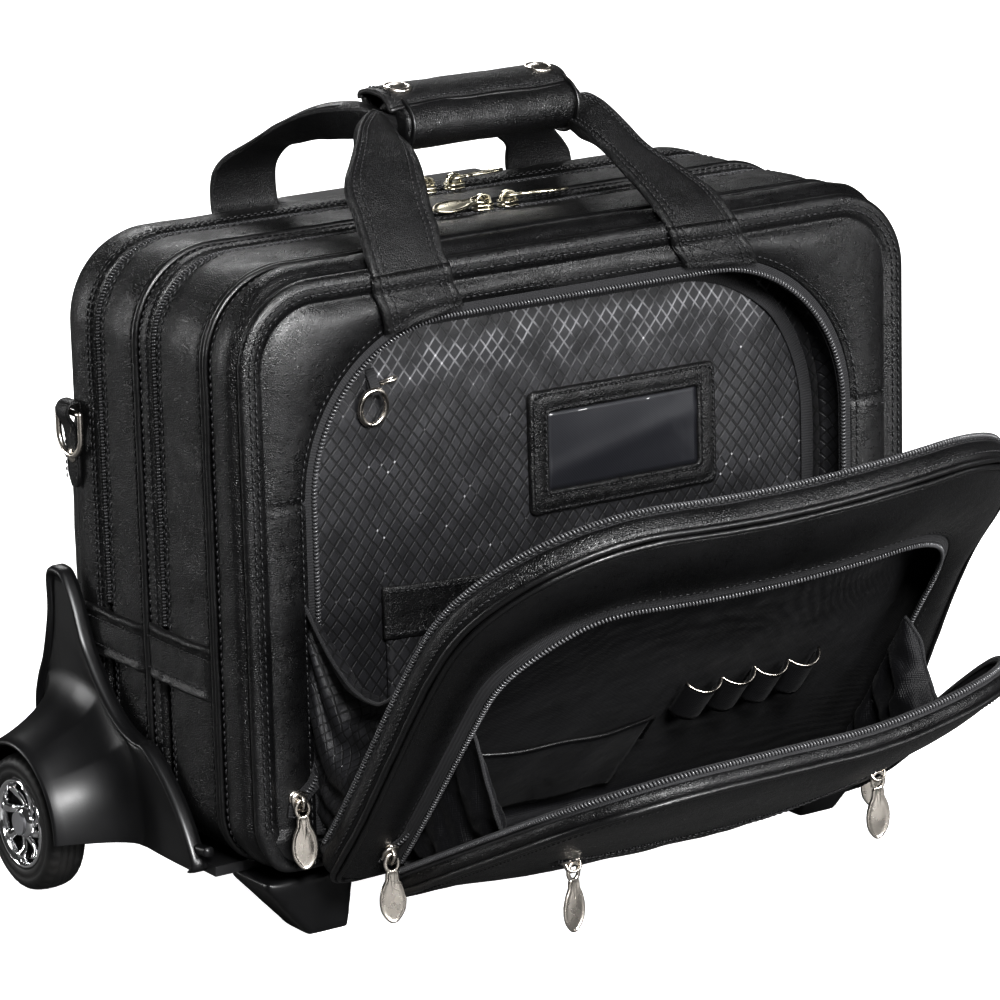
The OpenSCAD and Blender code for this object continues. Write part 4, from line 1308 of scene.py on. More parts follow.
def document_pocket():
    """Cloth pocket with a stitched leather band along its mouth."""
    rows = []
    for i in range(26):
        z = 57 + (152 - 57) * i / 25
        rows.append([(x, pocket_y(x, z), z) for x in np.linspace(-113, 150, 60)])
    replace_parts(sheet("document_pocket", "lining", np.array(rows), "case", 0.8, FRONT,
                      uv=lambda i, j: ((-113 + 263 * j / 59) * MM, (57 + 95 * i / 25) * MM)),
                "organizer_pocket")
    # (z, distance in front of the pocket as -y)
    profile = [(150, -0.4), (149.2, -1.6), (150.0, -2.6), (152, -2.6), (155, -2.2), (164, -2.6),
               (172, -2.4), (175, -2.8), (177.4, -2.8), (178.3, -2.0), (177.6, -0.6), (170, -0.3)]
    rows = [[(x, pocket_y(x, 150) + dy + 0.5 + 0.4 * noise_at(x * 0.05, z * 0.05, 2.0),
              z + band_sag(x)) for z, dy in profile] for x in np.linspace(-115, 64, 56)]
    Part().tube(rows).build("pocket_band", "leather", "case")
    part = Part()
    for z, dy in ((175.2, -3.0), (152.6, -2.8)):
        part.stitches([(x, pocket_y(x, 150) + dy + 0.5, z + band_sag(x))
                       for x in np.linspace(-113, 62, 60)], FRONT, **POCKET_STITCH)
    end_y = pocket_y(-112, 150) - 2.4
    part.stitches([(-112.2, end_y, 154), (-112.2, end_y, 174)], FRONT, **POCKET_STITCH)
    part.build("pocket_thread", "thread", "case", recalc=False)


def key_ring():
    """Ring on a cloth tab, with a small wire clip."""
    ring = [(-118 + 8 * math.cos(a), -68.0 - 1.4 * math.sin(a), 276 + 9.5 * math.sin(a))
            for a in turn(40)]
    part = Part().sweep(ring, FRONT, circle(1.55, 10), closed=True)
    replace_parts(part.build("key_ring_loop", "nickel", "case"), "key_ring")
    tab = [(-118, -64.5, 296), (-117.5, -66.5, 292), (-117, -68.5, 287.5), (-117, -70.0, 284.0),
           (-117, -67.6, 283.2), (-117.2, -65.6, 288), (-118, -64.2, 294)]
    Part().sweep(smooth_path(tab, 5), (1, 0, 0), slab(1.2, 6.0)).build(
        "key_ring_tab", "tape", "case")
    clip = [(-113, -66, 287.5), (-110, -69, 288.6), (-107, -70.2, 289.4), (-104.5, -69.2, 290),
            (-104.5, -67.4, 290), (-107, -66.4, 289.2), (-110.5, -66, 288)]
    Part().sweep(smooth_path(clip, 5, closed=True), UP, circle(1.2), closed=True).build(
        "key_ring_clip", "nickel", "case")


# ---------------------------------------------------------------- wings and wheels

# outline of a wing as (y, z), from the front foot over the top to the rear foot
WING_CONTROL = [(-44, 36.2), (-48, 40), (-43, 51), (-34, 65), (-22, 78), (-10, 88)]
WING_CONTROL += [(64 - 62 * t, 138 - 43 * (1 - (1 - t) ** 2.2)) for t in np.linspace(1, 0, 9)]
WING_CONTROL += [
    (71, 154), (78, 166), (84, 172.5), (90, 174.0), (97, 173.5), (100.2, 169), (100.5, 150),
    (108, 124), (116, 108), (120, 92), (118.5, 60), (112, 36.2)]
WING_OUTLINE = resample(smooth_path(WING_CONTROL, 8), 190)
WHEEL_X = 236       # inner face of the wheel


def wing_section(reach, flare_width):
    """(radius from the axle, x): wheel arch, flare that falls away, plate and raised rim."""
    arch = [(10, 217.2), (10, 221.5), (26, 221.5), (38, 221.6), (42.0, 222.4), (42.8, 224.5),
            (43.0, 240), (43.1, 258.5), (43.5, 260.8), (44.4, 261.8), (45.6, 261.6), (46.6, 260.4)]
    flare = [(46.6 + (flare_width - 2.6) * t, 222.3 + 38.0 * (1 - t) ** 2.3)
             for t in (0.05, 0.1, 0.17, 0.25, 0.35, 0.46, 0.58, 0.7, 0.82, 0.93, 1.0)]
    foot = 46.6 + flare_width - 2.6
    plate = [(foot + (reach - 6.5 - foot) * t, 222.3 + 0.5 * math.sin(pi * t))
             for t in (0.3, 0.6, 0.85, 0.95)]
    rim_height = 2.6
    rim = [(reach - 6.2, 222.4), (reach - 5.0, 223.4), (reach - 3.8, 223.3 + rim_height * 0.6),
           (reach - 2.4, 223.0 + rim_height), (reach - 1.0, 223.0 + rim_height * 0.75),
           (reach, 222.6), (reach + 0.1, 220.0), (reach, 217.2)]
    return arch + flare + plate + rim


def wing(sx, side):
    rows = []
    for y, z in WING_OUTLINE:
        d = np.array([y - AXLE_Y, z - AXLE_Z])
        reach = np.linalg.norm(d)
        d = d / reach
        angle = math.atan2(d[1], -d[0])
        widest = 24.0 + 12.0 * max(0.0, math.sin(angle)) + 6 * max(0.0, math.cos(angle))
        section = wing_section(reach, min(max(reach - 50.0, 5.0), widest))
        rows.append([(sx * x, AXLE_Y + d[0] * min(r, reach), max(AXLE_Z + d[1] * min(r, reach), 36.0))
                     for r, x in section])
    ob = Part().tube(np.array(rows)).build("wing_moulded_" + side[0], "plastic", "case")
    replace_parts(ob, "wing_" + side)
    # skirt along the lower edge, between wing and tray
    path = smooth_path([(110, 40), (60, 39.5), (10, 40.5), (-20, 45), (-40, 50), (-55, 52)], 8)
    Part().sweep([(sx * 219.6, y, z - 2.0) for y, z in path], UP, slab(5.6, 5.0, 1.6)).build(
        "wing_skirt_" + side[0], "plastic", "case")


def spin(part, sx, profile, count, inner_x=WHEEL_X, groove=lambda r, x, q: 0):
    """Turn a closed profile of (radius, x from inner_x) about the axle."""
    rows = []
    for r, x in profile:
        row = []
        for q in range(count):
            a = 2 * pi * q / count
            depth = r - groove(r, x, q)
            row.append((sx * (inner_x + x), AXLE_Y + depth * math.cos(a),
                        AXLE_Z + depth * math.sin(a)))
        rows.append(row)
    return part.grid(np.array(rows), wrap_columns=True, wrap_rows=True)


# closed profiles, (radius, x)
BOSS = [(4.2, 217.5), (13.5, 217.5), (13.5, 221.5), (12.2, 223.5), (10.4, 230.6), (9.6, 231.2),
        (4.2, 231.2)]
TYRE = [
    (25.2, 1.5), (26.5, 0.9), (29, 0.5), (30.2, 1.1), (31.2, 0.5), (34, 0.8), (35.8, 2.0),
    (36.9, 3.6), (37.4, 5.4), (37.7, 7.0), (37.2, 7.5), (37.2, 8.2), (37.8, 8.7), (38.0, 10.2),
    (38.0, 11.4), (37.4, 11.8), (37.4, 12.4), (38.0, 12.8), (38.0, 14.0), (37.8, 15.3),
    (37.2, 15.8), (37.2, 16.5), (37.7, 17.0), (37.4, 18.6), (36.9, 20.4), (35.8, 22.0),
    (34, 23.2), (31.2, 23.5), (30.2, 22.9), (29, 23.5), (26.5, 23.1), (25.2, 22.5)]
RIM = [(24.9, 1.2), (24.9, 22.6), (24.2, 23.4), (23.0, 23.2), (22.2, 21.6), (21.4, 18.0),
       (20.9, 12.0), (20.9, 4.0), (21.6, 1.2)]
HUB = [(4.1, 3.0), (8.6, 3.0), (8.9, 12.0), (9.4, 17.6), (8.8, 20.2), (7.2, 21.8), (4.6, 22.3),
       (4.1, 22.0)]
DISH = [(9.0, 6.5), (21.0, 5.0), (21.0, 7.0), (9.0, 8.5)]


def shoulder_groove(r, x, q):
    on_shoulder = 34.5 < r < 37.45 and (x < 7 or x > 17)
    return 0.55 if on_shoulder and q % 4 == 0 else 0


def wheel(sx, side):
    body = "wheel_" + side
    spin(Part(), sx, BOSS, 40, inner_x=0).build("axle_boss_" + side[0], "plastic_rough", "case")
    tyre = spin(Part(), sx, TYRE, 144, groove=shoulder_groove)
    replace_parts(tyre.build("tyre_" + side + "_tread", "rubber", body), "tyre_" + side)
    hub = spin(spin(Part(), sx, RIM, 96), sx, HUB, 48)
    for k in range(8):
        points, widths = [], []
        for t in np.linspace(0, 1, 9):
            r = 7.5 + (21.6 - 7.5) * t
            a = 2 * pi * k / 8 + 0.55 * t * sx + 0.25 * math.sin(pi * t) * sx
            x = sx * (WHEEL_X + (17.2 + 2.2 * t - 1.5 * math.sin(pi * t)))
            points.append((x, AXLE_Y + r * math.cos(a), AXLE_Z + r * math.sin(a)))
            widths.append(1.0 + 0.55 * t - 0.25 * math.sin(pi * t))
        hub.sweep(points, (sx, 0, 0), slab(4.2, 3.6, 1.3), scale=widths)
    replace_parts(hub.build("hub_" + side + "_spokes", "chrome", body), "hub_" + side)
    # dark dish behind the spokes
    spin(Part(), sx, DISH, 48).build("hub_" + side + "_dish", "plastic_rough", body)


# ---------------------------------------------------------------- CAD pieces that keep their shape

KEPT_MATERIALS = {
    "base_tray": "plastic", "front_feet": "plastic", "axles": "steel",
    "outer_tubes": "aluminium", "mid_tubes": "aluminium", "inner_tubes": "aluminium",
    "trolley_grip": "plastic_rough", "release_button": "plastic", "lock_rods": "steel",
    "button_spring": "steel", "d_ring_left": "nickel", "d_ring_right": "nickel",
    "stiffener_boards": "board", "laptop_sleeve": "nylon"}
# bevel widths, mm
KEPT_BEVELS = {"base_tray": 1.2, "trolley_grip": 2.0, "release_button": 1.0, "laptop_sleeve": 1.0}


def dress_kept_pieces():
    for name, material in KEPT_MATERIALS.items():
        ob = frame["nodes"][name]
        ob.data.materials.clear()
        ob.data.materials.append(MATERIALS[material])
        if name == "front_feet":
            remesh = ob.modifiers.new("round", "REMESH")
            remesh.mode = "VOXEL"
            remesh.voxel_size = 0.0017
            remesh.use_smooth_shade = True
            smooth = ob.modifiers.new("soften", "SMOOTH")
            smooth.factor = 0.5
            smooth.iterations = 16
        elif name in KEPT_BEVELS:
            bevel = ob.modifiers.new("edge", "BEVEL")
            bevel.width = KEPT_BEVELS[name] * MM
            bevel.segments = 3
            bevel.limit_method = "ANGLE"
            bevel.angle_limit = math.radians(30)


# ---------------------------------------------------------------- flaps: frames and helpers

def move(x, y, z):
    return Matrix.Translation(Vector((x, y, z)))


def turn_x(degrees):
    return Matrix.Rotation(math.radians(degrees), 4, "X")


def turn_y(degrees):
    return Matrix.Rotation(math.radians(degrees), 4, "Y")


def turn_z(degrees):
    return Matrix.Rotation(math.radians(degrees), 4, "Z")


def curl_large(point):
    """Soft cupping of the large flap: its upper corners spring back towards the case."""
    x, y, z = point
    k = smoothstep(10, 190, z)
    if x < 0:
        lift = 13.0 * (abs(x) / 181.0) ** 2.0
        inward = -0.5 * (abs(x) / 181.0) ** 2
    else:
        lift = 29.0 * (x / 181.0) ** 2.3
        inward = 5.0 * (x / 181.0) ** 2
    rise = 6.0 * smoothstep(120, 283, z) * math.exp(-((x - 60) / 70.0) ** 2)
    return (x - inward * k, y + lift * k, z + rise)


def curl_small(point):
    x, y, z = point
    k = smoothstep(0, 190, z)
    lift = 27.0 * (x / 150.0) ** 1.8 if x > 0 else -1.5 * (abs(x) / 150.0) ** 2
    inward = 5.0 * (x / 150.0) ** 2 * k if x > 0 else 0
    return (x - inward, y + lift * k, z)


# body; matrix in m and in mm; curl; depth of the plane the flap flattens to, mm
Flap = namedtuple("Flap", "body matrix matrix_mm curl flat_y")


def make_flap(body, matrix, curl, flat_y):
    matrix_mm = matrix.copy()
    matrix_mm.translation = matrix.translation / MM
    return Flap(body, matrix, matrix_mm, curl, flat_y)


large_matrix = Matrix.Translation(Vector((0, -94.0, 51.5)) * MM) @ turn_x(42.0)
small_matrix = large_matrix @ Matrix.Translation(Vector((0, -23.2, 8.0)) * MM) @ turn_x(22.0)
LARGE = make_flap("flap_1", large_matrix, curl_large, -24.0)
SMALL = make_flap("flap_2", small_matrix, curl_small, -20.0)


def place_flap(ob, flap):
    """Curl the piece and put it in the flap's frame, riding on the flap."""
    mesh = ob.data
    for v in mesh.vertices:
        v.co = Vector(flap.curl(v.co / MM)) * MM
    mesh.transform(flap.matrix)
    mesh.update()
    ride(ob, flap.body)
    squash(ob)
    return ob


def flap_sheet(flap, name, material, rows, thickness, outward, **options):
    return place_flap(sheet(name, material, rows, None, thickness, outward, **options), flap)


def flap_part(flap, part, name, material, recalc=True):
    return place_flap(part.build(name, material, None, recalc=recalc), flap)


def flap_outline(half, low, high, radius, count):
    return outline_of(u_loop(half, low, high, radius, count, low_radius=10.0))


def flap_rows(outline, stations, amp, size, seed):
    """Rows for a list of (offset, y) stations."""
    return [ring_row(outline, o, y, amp, size, seed, sway=0.4 * amp) for o, y in stations]


def shrunk_rows(outline, centre, scales, depth):
    """Rows that close in on a centre; depth(x, z, scale) gives y."""
    rows = []
    for k in scales:
        points = (outline.points - centre) * k + centre
        rows.append(at_depth(points, lambda x, z, k=k: depth(x, z, k)))
    return rows


def flap_welt(flap, name, outline, offset, y, radius, seed):
    def jitter(x, z):
        return (0.25 * fbm((x, y, z), 25, seed), 0.3 * fbm((x, y, z), 30, seed + 3))
    part = bead(outline, offset, y, radius, sides=12, seed=seed, ripple=0.1, jitter=jitter)
    flap_part(flap, part, name, "welt")


def edge_coil(flap, name, path, y):
    """Open zip coil along the rim of a flap."""
    part = Part().coil(at_depth(path, y), as_3d(left_hand_normals(path)), **OPEN_COIL)
    flap_part(flap, part, name, "teeth", recalc=False)


# ---------------------------------------------------------------- large flap

LARGE_SIZE = (181.0, 1.0, 283.0, 98.0)          # half width, low, high, radius
LARGE_OPENING = (151.0, 12.0, 225.0, 71.0)
LARGE_RIM = flap_outline(*LARGE_SIZE, 520)
LARGE_OUTWARD = from_middle(181, 120, 140)


def large_rim():
    stations = ((-2.4, -7.0), (-1.0, -6.6), (0.1, -7.2), (0.8, -8.4), (1.2, -9.8), (1.3, -11.6),
                (1.0, -14.0), (0.3, -16.2), (-0.8, -17.6), (-2.4, -18.2))
    rows = np.array(flap_rows(LARGE_RIM, stations, amp=0.4, size=14.0, seed=21.0))
    flap_sheet(LARGE, "flap_1_side_leather", "leather", rows, 1.8, LARGE_OUTWARD, wrap=True)
    flap_welt(LARGE, "flap_1_welt_a", LARGE_RIM, -0.2, -19.2, 1.7, seed=2.0)
    flap_welt(LARGE, "flap_1_welt_b", LARGE_RIM, -2.9, -21.6, 1.5, seed=5.0)


def large_face():
    """Leather ring between the rim and the opening of the small flap."""
    outer, inner = match_loops(
        u_loop(*LARGE_SIZE, 900, low_radius=10.0), corner_marks(*LARGE_SIZE, 185),
        u_loop(*LARGE_OPENING, 900, low_radius=8.0), corner_marks(*LARGE_OPENING, 154), 520)
    start = outer - right_hand_normals(outer) * 4.4
    rows = []
    for t in (0.0, 0.03, 0.08, 0.15, 0.24, 0.34, 0.45, 0.56, 0.67, 0.77, 0.86, 0.92, 0.96,
              0.985, 1.0):
        row = np.zeros((len(outer), 3))
        for j, (a, b) in enumerate(zip(start, inner)):
            x, z = a + (b - a) * t
            bulge = min(6.0, 0.12 * np.linalg.norm(b - a))
            y = -20.9 - bulge * math.sin(pi * min(1, 0.04 + t * 0.96)) ** 0.85
            y -= 0.7 * fbm((x, z, 9.0), 24.0, 6.0) * math.sin(pi * t)
            # seam across both sides
            dz = abs(z - 132.0 - 0.1 * (abs(x) - 150))
            if dz < 2.2:
                y += 0.9 * (1 - dz / 2.2) ** 1.2 * math.sin(pi * t) ** 0.3
            row[j] = (x, y, z)
        rows.append(row)
    ob = flap_sheet(LARGE, "flap_1_face_leather", "leather_soft",
                    with_turned_edge(rows, -20.2, -18.6), 1.5, FRONT, wrap=True)
    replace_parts(ob, "flap_1_shell")


def large_linings():
    """Inner wall with gathers, and the lining that faces the case."""
    outline = flap_outline(177.0, 4.0, 279.0, 95.0, 300)
    centre = np.array([0.0, 135.0])
    rows = []
    for o, y, amp in ((0.0, -17.0, 0.5), (0.4, -12.0, 0.6), (0.0, -7.5, 0.6), (-2.0, -5.6, 0.5)):
        rows += flap_rows(outline, ((o, y),), amp, size=12, seed=2.0)

    def inner_depth(x, z, k):
        gathers = max(0.0, math.sin(x * 0.11 + 0.02 * z)) * smoothstep(150, 220, z)
        return -5.2 - 0.8 * fbm((x, z, 0), 45, 4.0) - 1.5 * gathers * 0.8

    rows += shrunk_rows(outline, centre, (0.95, 0.9, 0.82, 0.74, 0.66, 0.58, 0.5, 0.42, 0.34,
                                          0.26, 0.18, 0.1, 0.04), inner_depth)
    ob = flap_sheet(LARGE, "flap_1_inner_lining", "nylon", np.array(rows), 0.7, FRONT, wrap=True)
    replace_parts(ob, "flap_1_lining")

    def back_depth(x, z, k):
        return min(-3.0 + 1.6 * fbm((x, z, 5.0), 50, 1.0) * (1 - k) * 1.2, -1.4)

    rows = np.array(shrunk_rows(outline, centre, (1.0, 0.985, 0.96, 0.9, 0.8, 0.65, 0.5, 0.35,
                                                  0.2, 0.08), back_depth))
    flap_sheet(LARGE, "flap_1_back_lining", "lining", rows, 0.7, BACK, wrap=True, uv=flat_uv(rows))


def large_zips():
    """Zip on the rim, and the one round the opening for the small flap."""
    stations = ((-5.0, -2.9), (-2.6, -1.7), (-1.2, -1.5), (-0.6, -2.4), (-0.5, -4.2),
                (-0.5, -6.0), (-0.6, -8.2))
    rows = np.array(flap_rows(LARGE_RIM, stations, amp=0.25, size=9.0, seed=33.0))
    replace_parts(flap_sheet(LARGE, "flap_1_zip_tape", "tape", rows, 0.8, LARGE_OUTWARD, wrap=True),
                "flap_1_zip")
    edge_coil(LARGE, "flap_1_zip_coil", u_open(181.1, 16.0, 283.1, 98.0, 320), -3.6)

    left_lift = lambda x: 3.0 * smoothstep(100, 140, -x)
    rows = []
    # (half width, y) from the seam inwards
    for i, (half, y) in enumerate(((152.6, -19.6), (151.0, -20.6), (149.2, -21.3),
                                   (147.2, -21.9), (145.0, -22.4), (144.2, -21.6))):
        path = u_open(half, 16.0 - (151 - half) * 0.2, 74.0 + half, 71.0 + (half - 151), 300)
        rows.append(at_depth(path, lambda x, z: (y - min(1.0, i / 3.0) * left_lift(x)
                                                 + 0.3 * fbm((x, z, 0.0), 7.0, 3.0))))
    flap_sheet(LARGE, "flap_1_opening_tape", "tape", np.array(rows), 0.8, FRONT)
    path = at_depth(u_open(145.4, 18.0, 219.4, 66.0, 300), lambda x, z: -22.9 - left_lift(x))
    flap_part(LARGE, Part().coil(path, FRONT, **OPEN_COIL), "flap_1_opening_coil", "teeth",
              recalc=False)


def large_stitching():
    part = Part().stitches(at_depth(u_open(154.0, 18.0, 228.0, 73.0, 260), -21.9), FRONT,
                           pitch=4.0)
    path = u_open(179.6, 22.0, 281.6, 97.0, 320)
    normals = left_hand_normals(path)
    for y, out in ((-6.3, 2.3), (-14.8, 2.5)):
        part.stitches(at_depth(path + normals * out, y), as_3d(normals), pitch=4.0)
    flap_part(LARGE, part, "flap_1_thread", "thread", recalc=False)


def large_pockets():
    """Piped pocket and pen loops inside the large flap."""
    rows = []
    for i in range(16):
        z = 14 + 66 * i / 15
        row = []
        for x in np.linspace(-122, -3, 40):
            t = (x + 122) / 119.0
            belly = math.sin(pi * min(1, max(0, t))) ** 0.6 * smoothstep(0, 1, (z - 8) / 70.0)
            row.append((x, -7.0 - 5.5 * belly - 0.6 * math.sin(x * 0.12),
                        z + 3.0 * math.sin(pi * t) * (i / 15.0)))
        rows.append(row)
    ob = flap_sheet(LARGE, "flap_1_pocket_panel", "nylon", np.array(rows), 0.7, FRONT)
    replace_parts(ob, "flap_1_pockets")
    part = Part()
    part.sweep(rows[-1] + [(-2.0, -7.0, 78.0), (-2.4, -7.2, 60)], FRONT, circle(1.1))
    part.sweep([(-122, -7.6, z) for z in np.linspace(80, 20, 14)], FRONT, circle(0.9))
    flap_part(LARGE, part, "flap_1_pocket_piping", "welt")

    loop_pitch = 22.5
    wave = [(x + 4, -7.2 - 8.5 * math.sin(pi * (x % loop_pitch) / loop_pitch) ** 0.55)
            for x in np.linspace(0, 90, 91)]
    rows = np.array([[(x, y, 84 + 26 * i / 7) for x, y in wave] for i in range(8)])
    flap_sheet(LARGE, "flap_1_pen_loops", "nylon", rows, 0.9, FRONT)
    part = Part().sweep([(x, y, 110.4) for x, y in wave], UP, circle(0.65))
    flap_part(LARGE, part, "flap_1_pen_loop_edge", "nickel")


# ---------------------------------------------------------------- small flap

SMALL_RIM = flap_outline(150.0, 1.0, 218.0, 70.0, 440)
SMALL_CENTRE = np.array([0.0, 112.0])
SMALL_OUTWARD = from_middle(150, 100, 110)
SMALL_ZIP_Z = 100.5


def small_zip_y(x):
    """Face of the small flap along its pocket zip."""
    k = max(abs(x) / 150.0, abs(SMALL_ZIP_Z - 112) / 108.0)
    return -14.6 - 11.0 * max(0.0, 1 - k ** 4.0) ** 0.8 * (1 - 0.25 * smoothstep(0, 150, x))


def small_face_depth(x, z, k):
    swell = (1 - k ** 4.0) ** 0.8 * (1 - 0.25 * smoothstep(0, 150, x))
    y = -14.6 - 11.0 * swell * smoothstep(-10, 60, z)
    y -= 0.8 * fbm((x, z, 2.0), 30, 12.0) * min(1.0, (1 - k) * 6)
    dz = abs(z - SMALL_ZIP_Z)
    if abs(x) < 112 and dz < 4.0:
        y += 1.8 * (1 - (dz / 4.0) ** 2)
    return y


def small_shell():
    stations = ((-2.2, -6.6), (-0.9, -6.2), (0.1, -6.8), (0.6, -7.8), (0.9, -9.0), (0.8, -10.4),
                (0.2, -12.0), (-1.0, -13.2), (-2.6, -13.6))
    rows = np.array(flap_rows(SMALL_RIM, stations, amp=0.4, size=14.0, seed=31.0))
    flap_sheet(SMALL, "flap_2_side_leather", "leather", rows, 1.7, SMALL_OUTWARD, wrap=True)
    flap_welt(SMALL, "flap_2_welt", SMALL_RIM, -0.6, -14.4, 1.8, seed=8.0)
    scales = (0.985, 0.972, 0.955, 0.93, 0.9, 0.86, 0.81, 0.75, 0.67, 0.58, 0.49, 0.4, 0.31,
              0.22, 0.13, 0.05)
    rows = np.array(shrunk_rows(SMALL_RIM, SMALL_CENTRE, scales, small_face_depth))
    ob = flap_sheet(SMALL, "flap_2_face_leather", "leather_soft", rows, 1.5, FRONT, wrap=True)
    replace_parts(ob, "flap_2_shell")


def small_lining():
    outline = flap_outline(146.5, 4.0, 214.5, 67.0, 260)
    stations = ((0.0, -3.0), (0.0, -5.5), (0.0, -8.0), (-1.5, -9.6))
    rows = flap_rows(outline, stations, amp=0.5, size=12, seed=7.0)
    rows += shrunk_rows(outline, SMALL_CENTRE,
                        (0.95, 0.88, 0.8, 0.7, 0.6, 0.5, 0.4, 0.3, 0.2, 0.1, 0.04),
                        lambda x, z, k: -10.2 - 0.9 * fbm((x, z, 3.0), 35, 5.0))
    ob = flap_sheet(SMALL, "flap_2_inner_lining", "nylon", np.array(rows), 0.7, BACK, wrap=True)
    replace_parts(ob, "flap_2_lining")


def small_zips():
    """Zip on the rim, the long pocket zip on the face, and the stitches."""
    stations = ((-5.4, -2.8), (-3.0, -1.5), (-1.4, -1.2), (-0.7, -2.0), (-0.5, -3.6),
                (-0.5, -5.6), (-0.6, -7.8))
    rows = np.array(flap_rows(SMALL_RIM, stations, amp=0.25, size=9.0, seed=37.0))
    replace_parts(flap_sheet(SMALL, "flap_2_zip_tape", "tape", rows, 0.8, SMALL_OUTWARD, wrap=True),
                "flap_2_zip")
    edge_coil(SMALL, "flap_2_zip_coil", u_open(150.1, 14.0, 218.1, 70.0, 300), -3.4)

    def across_face(lift, dz=0.0):
        return [(x, small_zip_y(x) + lift, SMALL_ZIP_Z + dz) for x in np.linspace(-110, 110, 60)]

    part = Part().sweep(across_face(1.1), FRONT, slab(8.0, 0.8))
    flap_part(SMALL, part, "flap_2_pocket_tape", "tape")
    part = Part().coil(across_face(0.2), FRONT, **END_COIL)
    flap_part(SMALL, part, "flap_2_pocket_coil", "teeth", recalc=False)
    part = Part()
    for dz in (-7.0, 7.0):
        part.stitches(across_face(-0.6, dz), FRONT, pitch=4.0)
    part.stitches(at_depth(u_open(144.5, 14.0, 212.5, 65.0, 240), -16.4), FRONT, pitch=4.0)
    flap_part(SMALL, part, "flap_2_thread", "thread", recalc=False)


# ---------------------------------------------------------------- carry handle straps

STRAP_SPLIT_Z = 351.0       # above this the strap is built as a separate piece
STRAP_THICKNESS = 2.8
STRAP_SPANS = 6             # points per control station
# places across a strap, -1 to 1
STRAP_ACROSS = [
    -1, -0.985, -0.95, -0.90, -0.84, -0.79, -0.74, -0.64, -0.58, -0.5, -0.3, -0.1,
    0.1, 0.3, 0.5, 0.58, 0.64, 0.74, 0.79, 0.84, 0.90, 0.95, 0.985, 1]

# name: (-1 front or 1 rear, station where it thickens, added thickness,
#        stations of both edges as x, y, z, x, y, z from the sewn end to the grip)
STRAPS = {
    "strap_front_left": (-1, 8, 7.0, [
        (-126, -95, 320.5, -78, -95, 330.0), (-130, -95.3, 334, -82, -95.3, 339),
        (-133, -95, 347, -85, -95, 349), (-133, -89, 360, -86, -89, 360),
        (-131, -80, 370.5, -83, -80, 370), (-129, -71, 380, -81, -71, 378),
        (-128, -63, 388, -78, -63, 386), (-123, -55, 395, -75, -55, 393),
        (-114, -46, 402, -72, -46, 398), (-105, -36, 408, -69, -36, 400),
        (-95, -22, 413, -67, -24, 400), (-84, -10, 416, -64, -12, 400),
        (-72, 2, 415, -60, 0, 401), (-56, 6, 412, -52, 6, 402)]),
    "strap_front_right": (-1, 8, 6.0, [
        (63, -95, 330.0, 111, -95, 326.0), (57, -95.3, 340, 105, -95.3, 338),
        (53, -95, 349, 99, -95, 348), (51, -89, 358.5, 96, -89, 358),
        (50, -80, 365.5, 94, -80, 365), (49, -71, 372, 92, -71, 369),
        (47.5, -61, 378.5, 88, -61, 375), (47, -51, 384.5, 82, -50, 381),
        (47, -41, 389, 77, -40, 387.5), (48, -31, 391.5, 75, -30, 394),
        (49, -20, 393, 73, -20, 400), (51, -10, 394, 71, -10, 406),
        (51, -2, 396, 66, -2, 410), (49, 4, 399, 54, 4, 409)]),
    "strap_rear_left": (1, 8, 6.0, [
        (-117, 92.5, 334, -73, 92.5, 334), (-117, 92.5, 347, -74, 92.5, 347),
        (-117, 94, 361, -75, 94, 360), (-117, 93, 370, -76, 93, 369),
        (-116, 90, 378, -77, 90, 377), (-112, 84, 385, -77, 84, 384),
        (-106, 76, 391, -76, 76, 390), (-101, 64, 399, -76, 64, 393),
        (-95, 52, 407, -74, 52, 396), (-90, 40, 413, -72, 40, 398),
        (-83, 30, 417, -70, 30, 400), (-76, 21, 418.5, -66, 21, 401),
        (-68, 13, 418, -60, 13, 402), (-55, 8, 413, -51, 8, 402)]),
    "strap_rear_right": (1, 7, 6.0, [
        (74, 92.0, 334, 119, 92.0, 334), (74, 92.0, 347, 119, 92.0, 347),
        (74, 91.6, 360, 118, 92, 359), (72, 88.5, 369, 112, 89.5, 367),
        (60, 83, 378, 103, 84.5, 375), (51.5, 76, 387, 95, 76, 384),
        (47, 63, 395, 88, 63, 393), (47, 47, 400, 84, 47, 401),
        (49, 32, 402, 79, 32, 407), (52, 22, 400, 74, 22, 411),
        (55, 12, 399, 68, 12, 412), (50, 8, 400, 56, 8, 411)]),
}


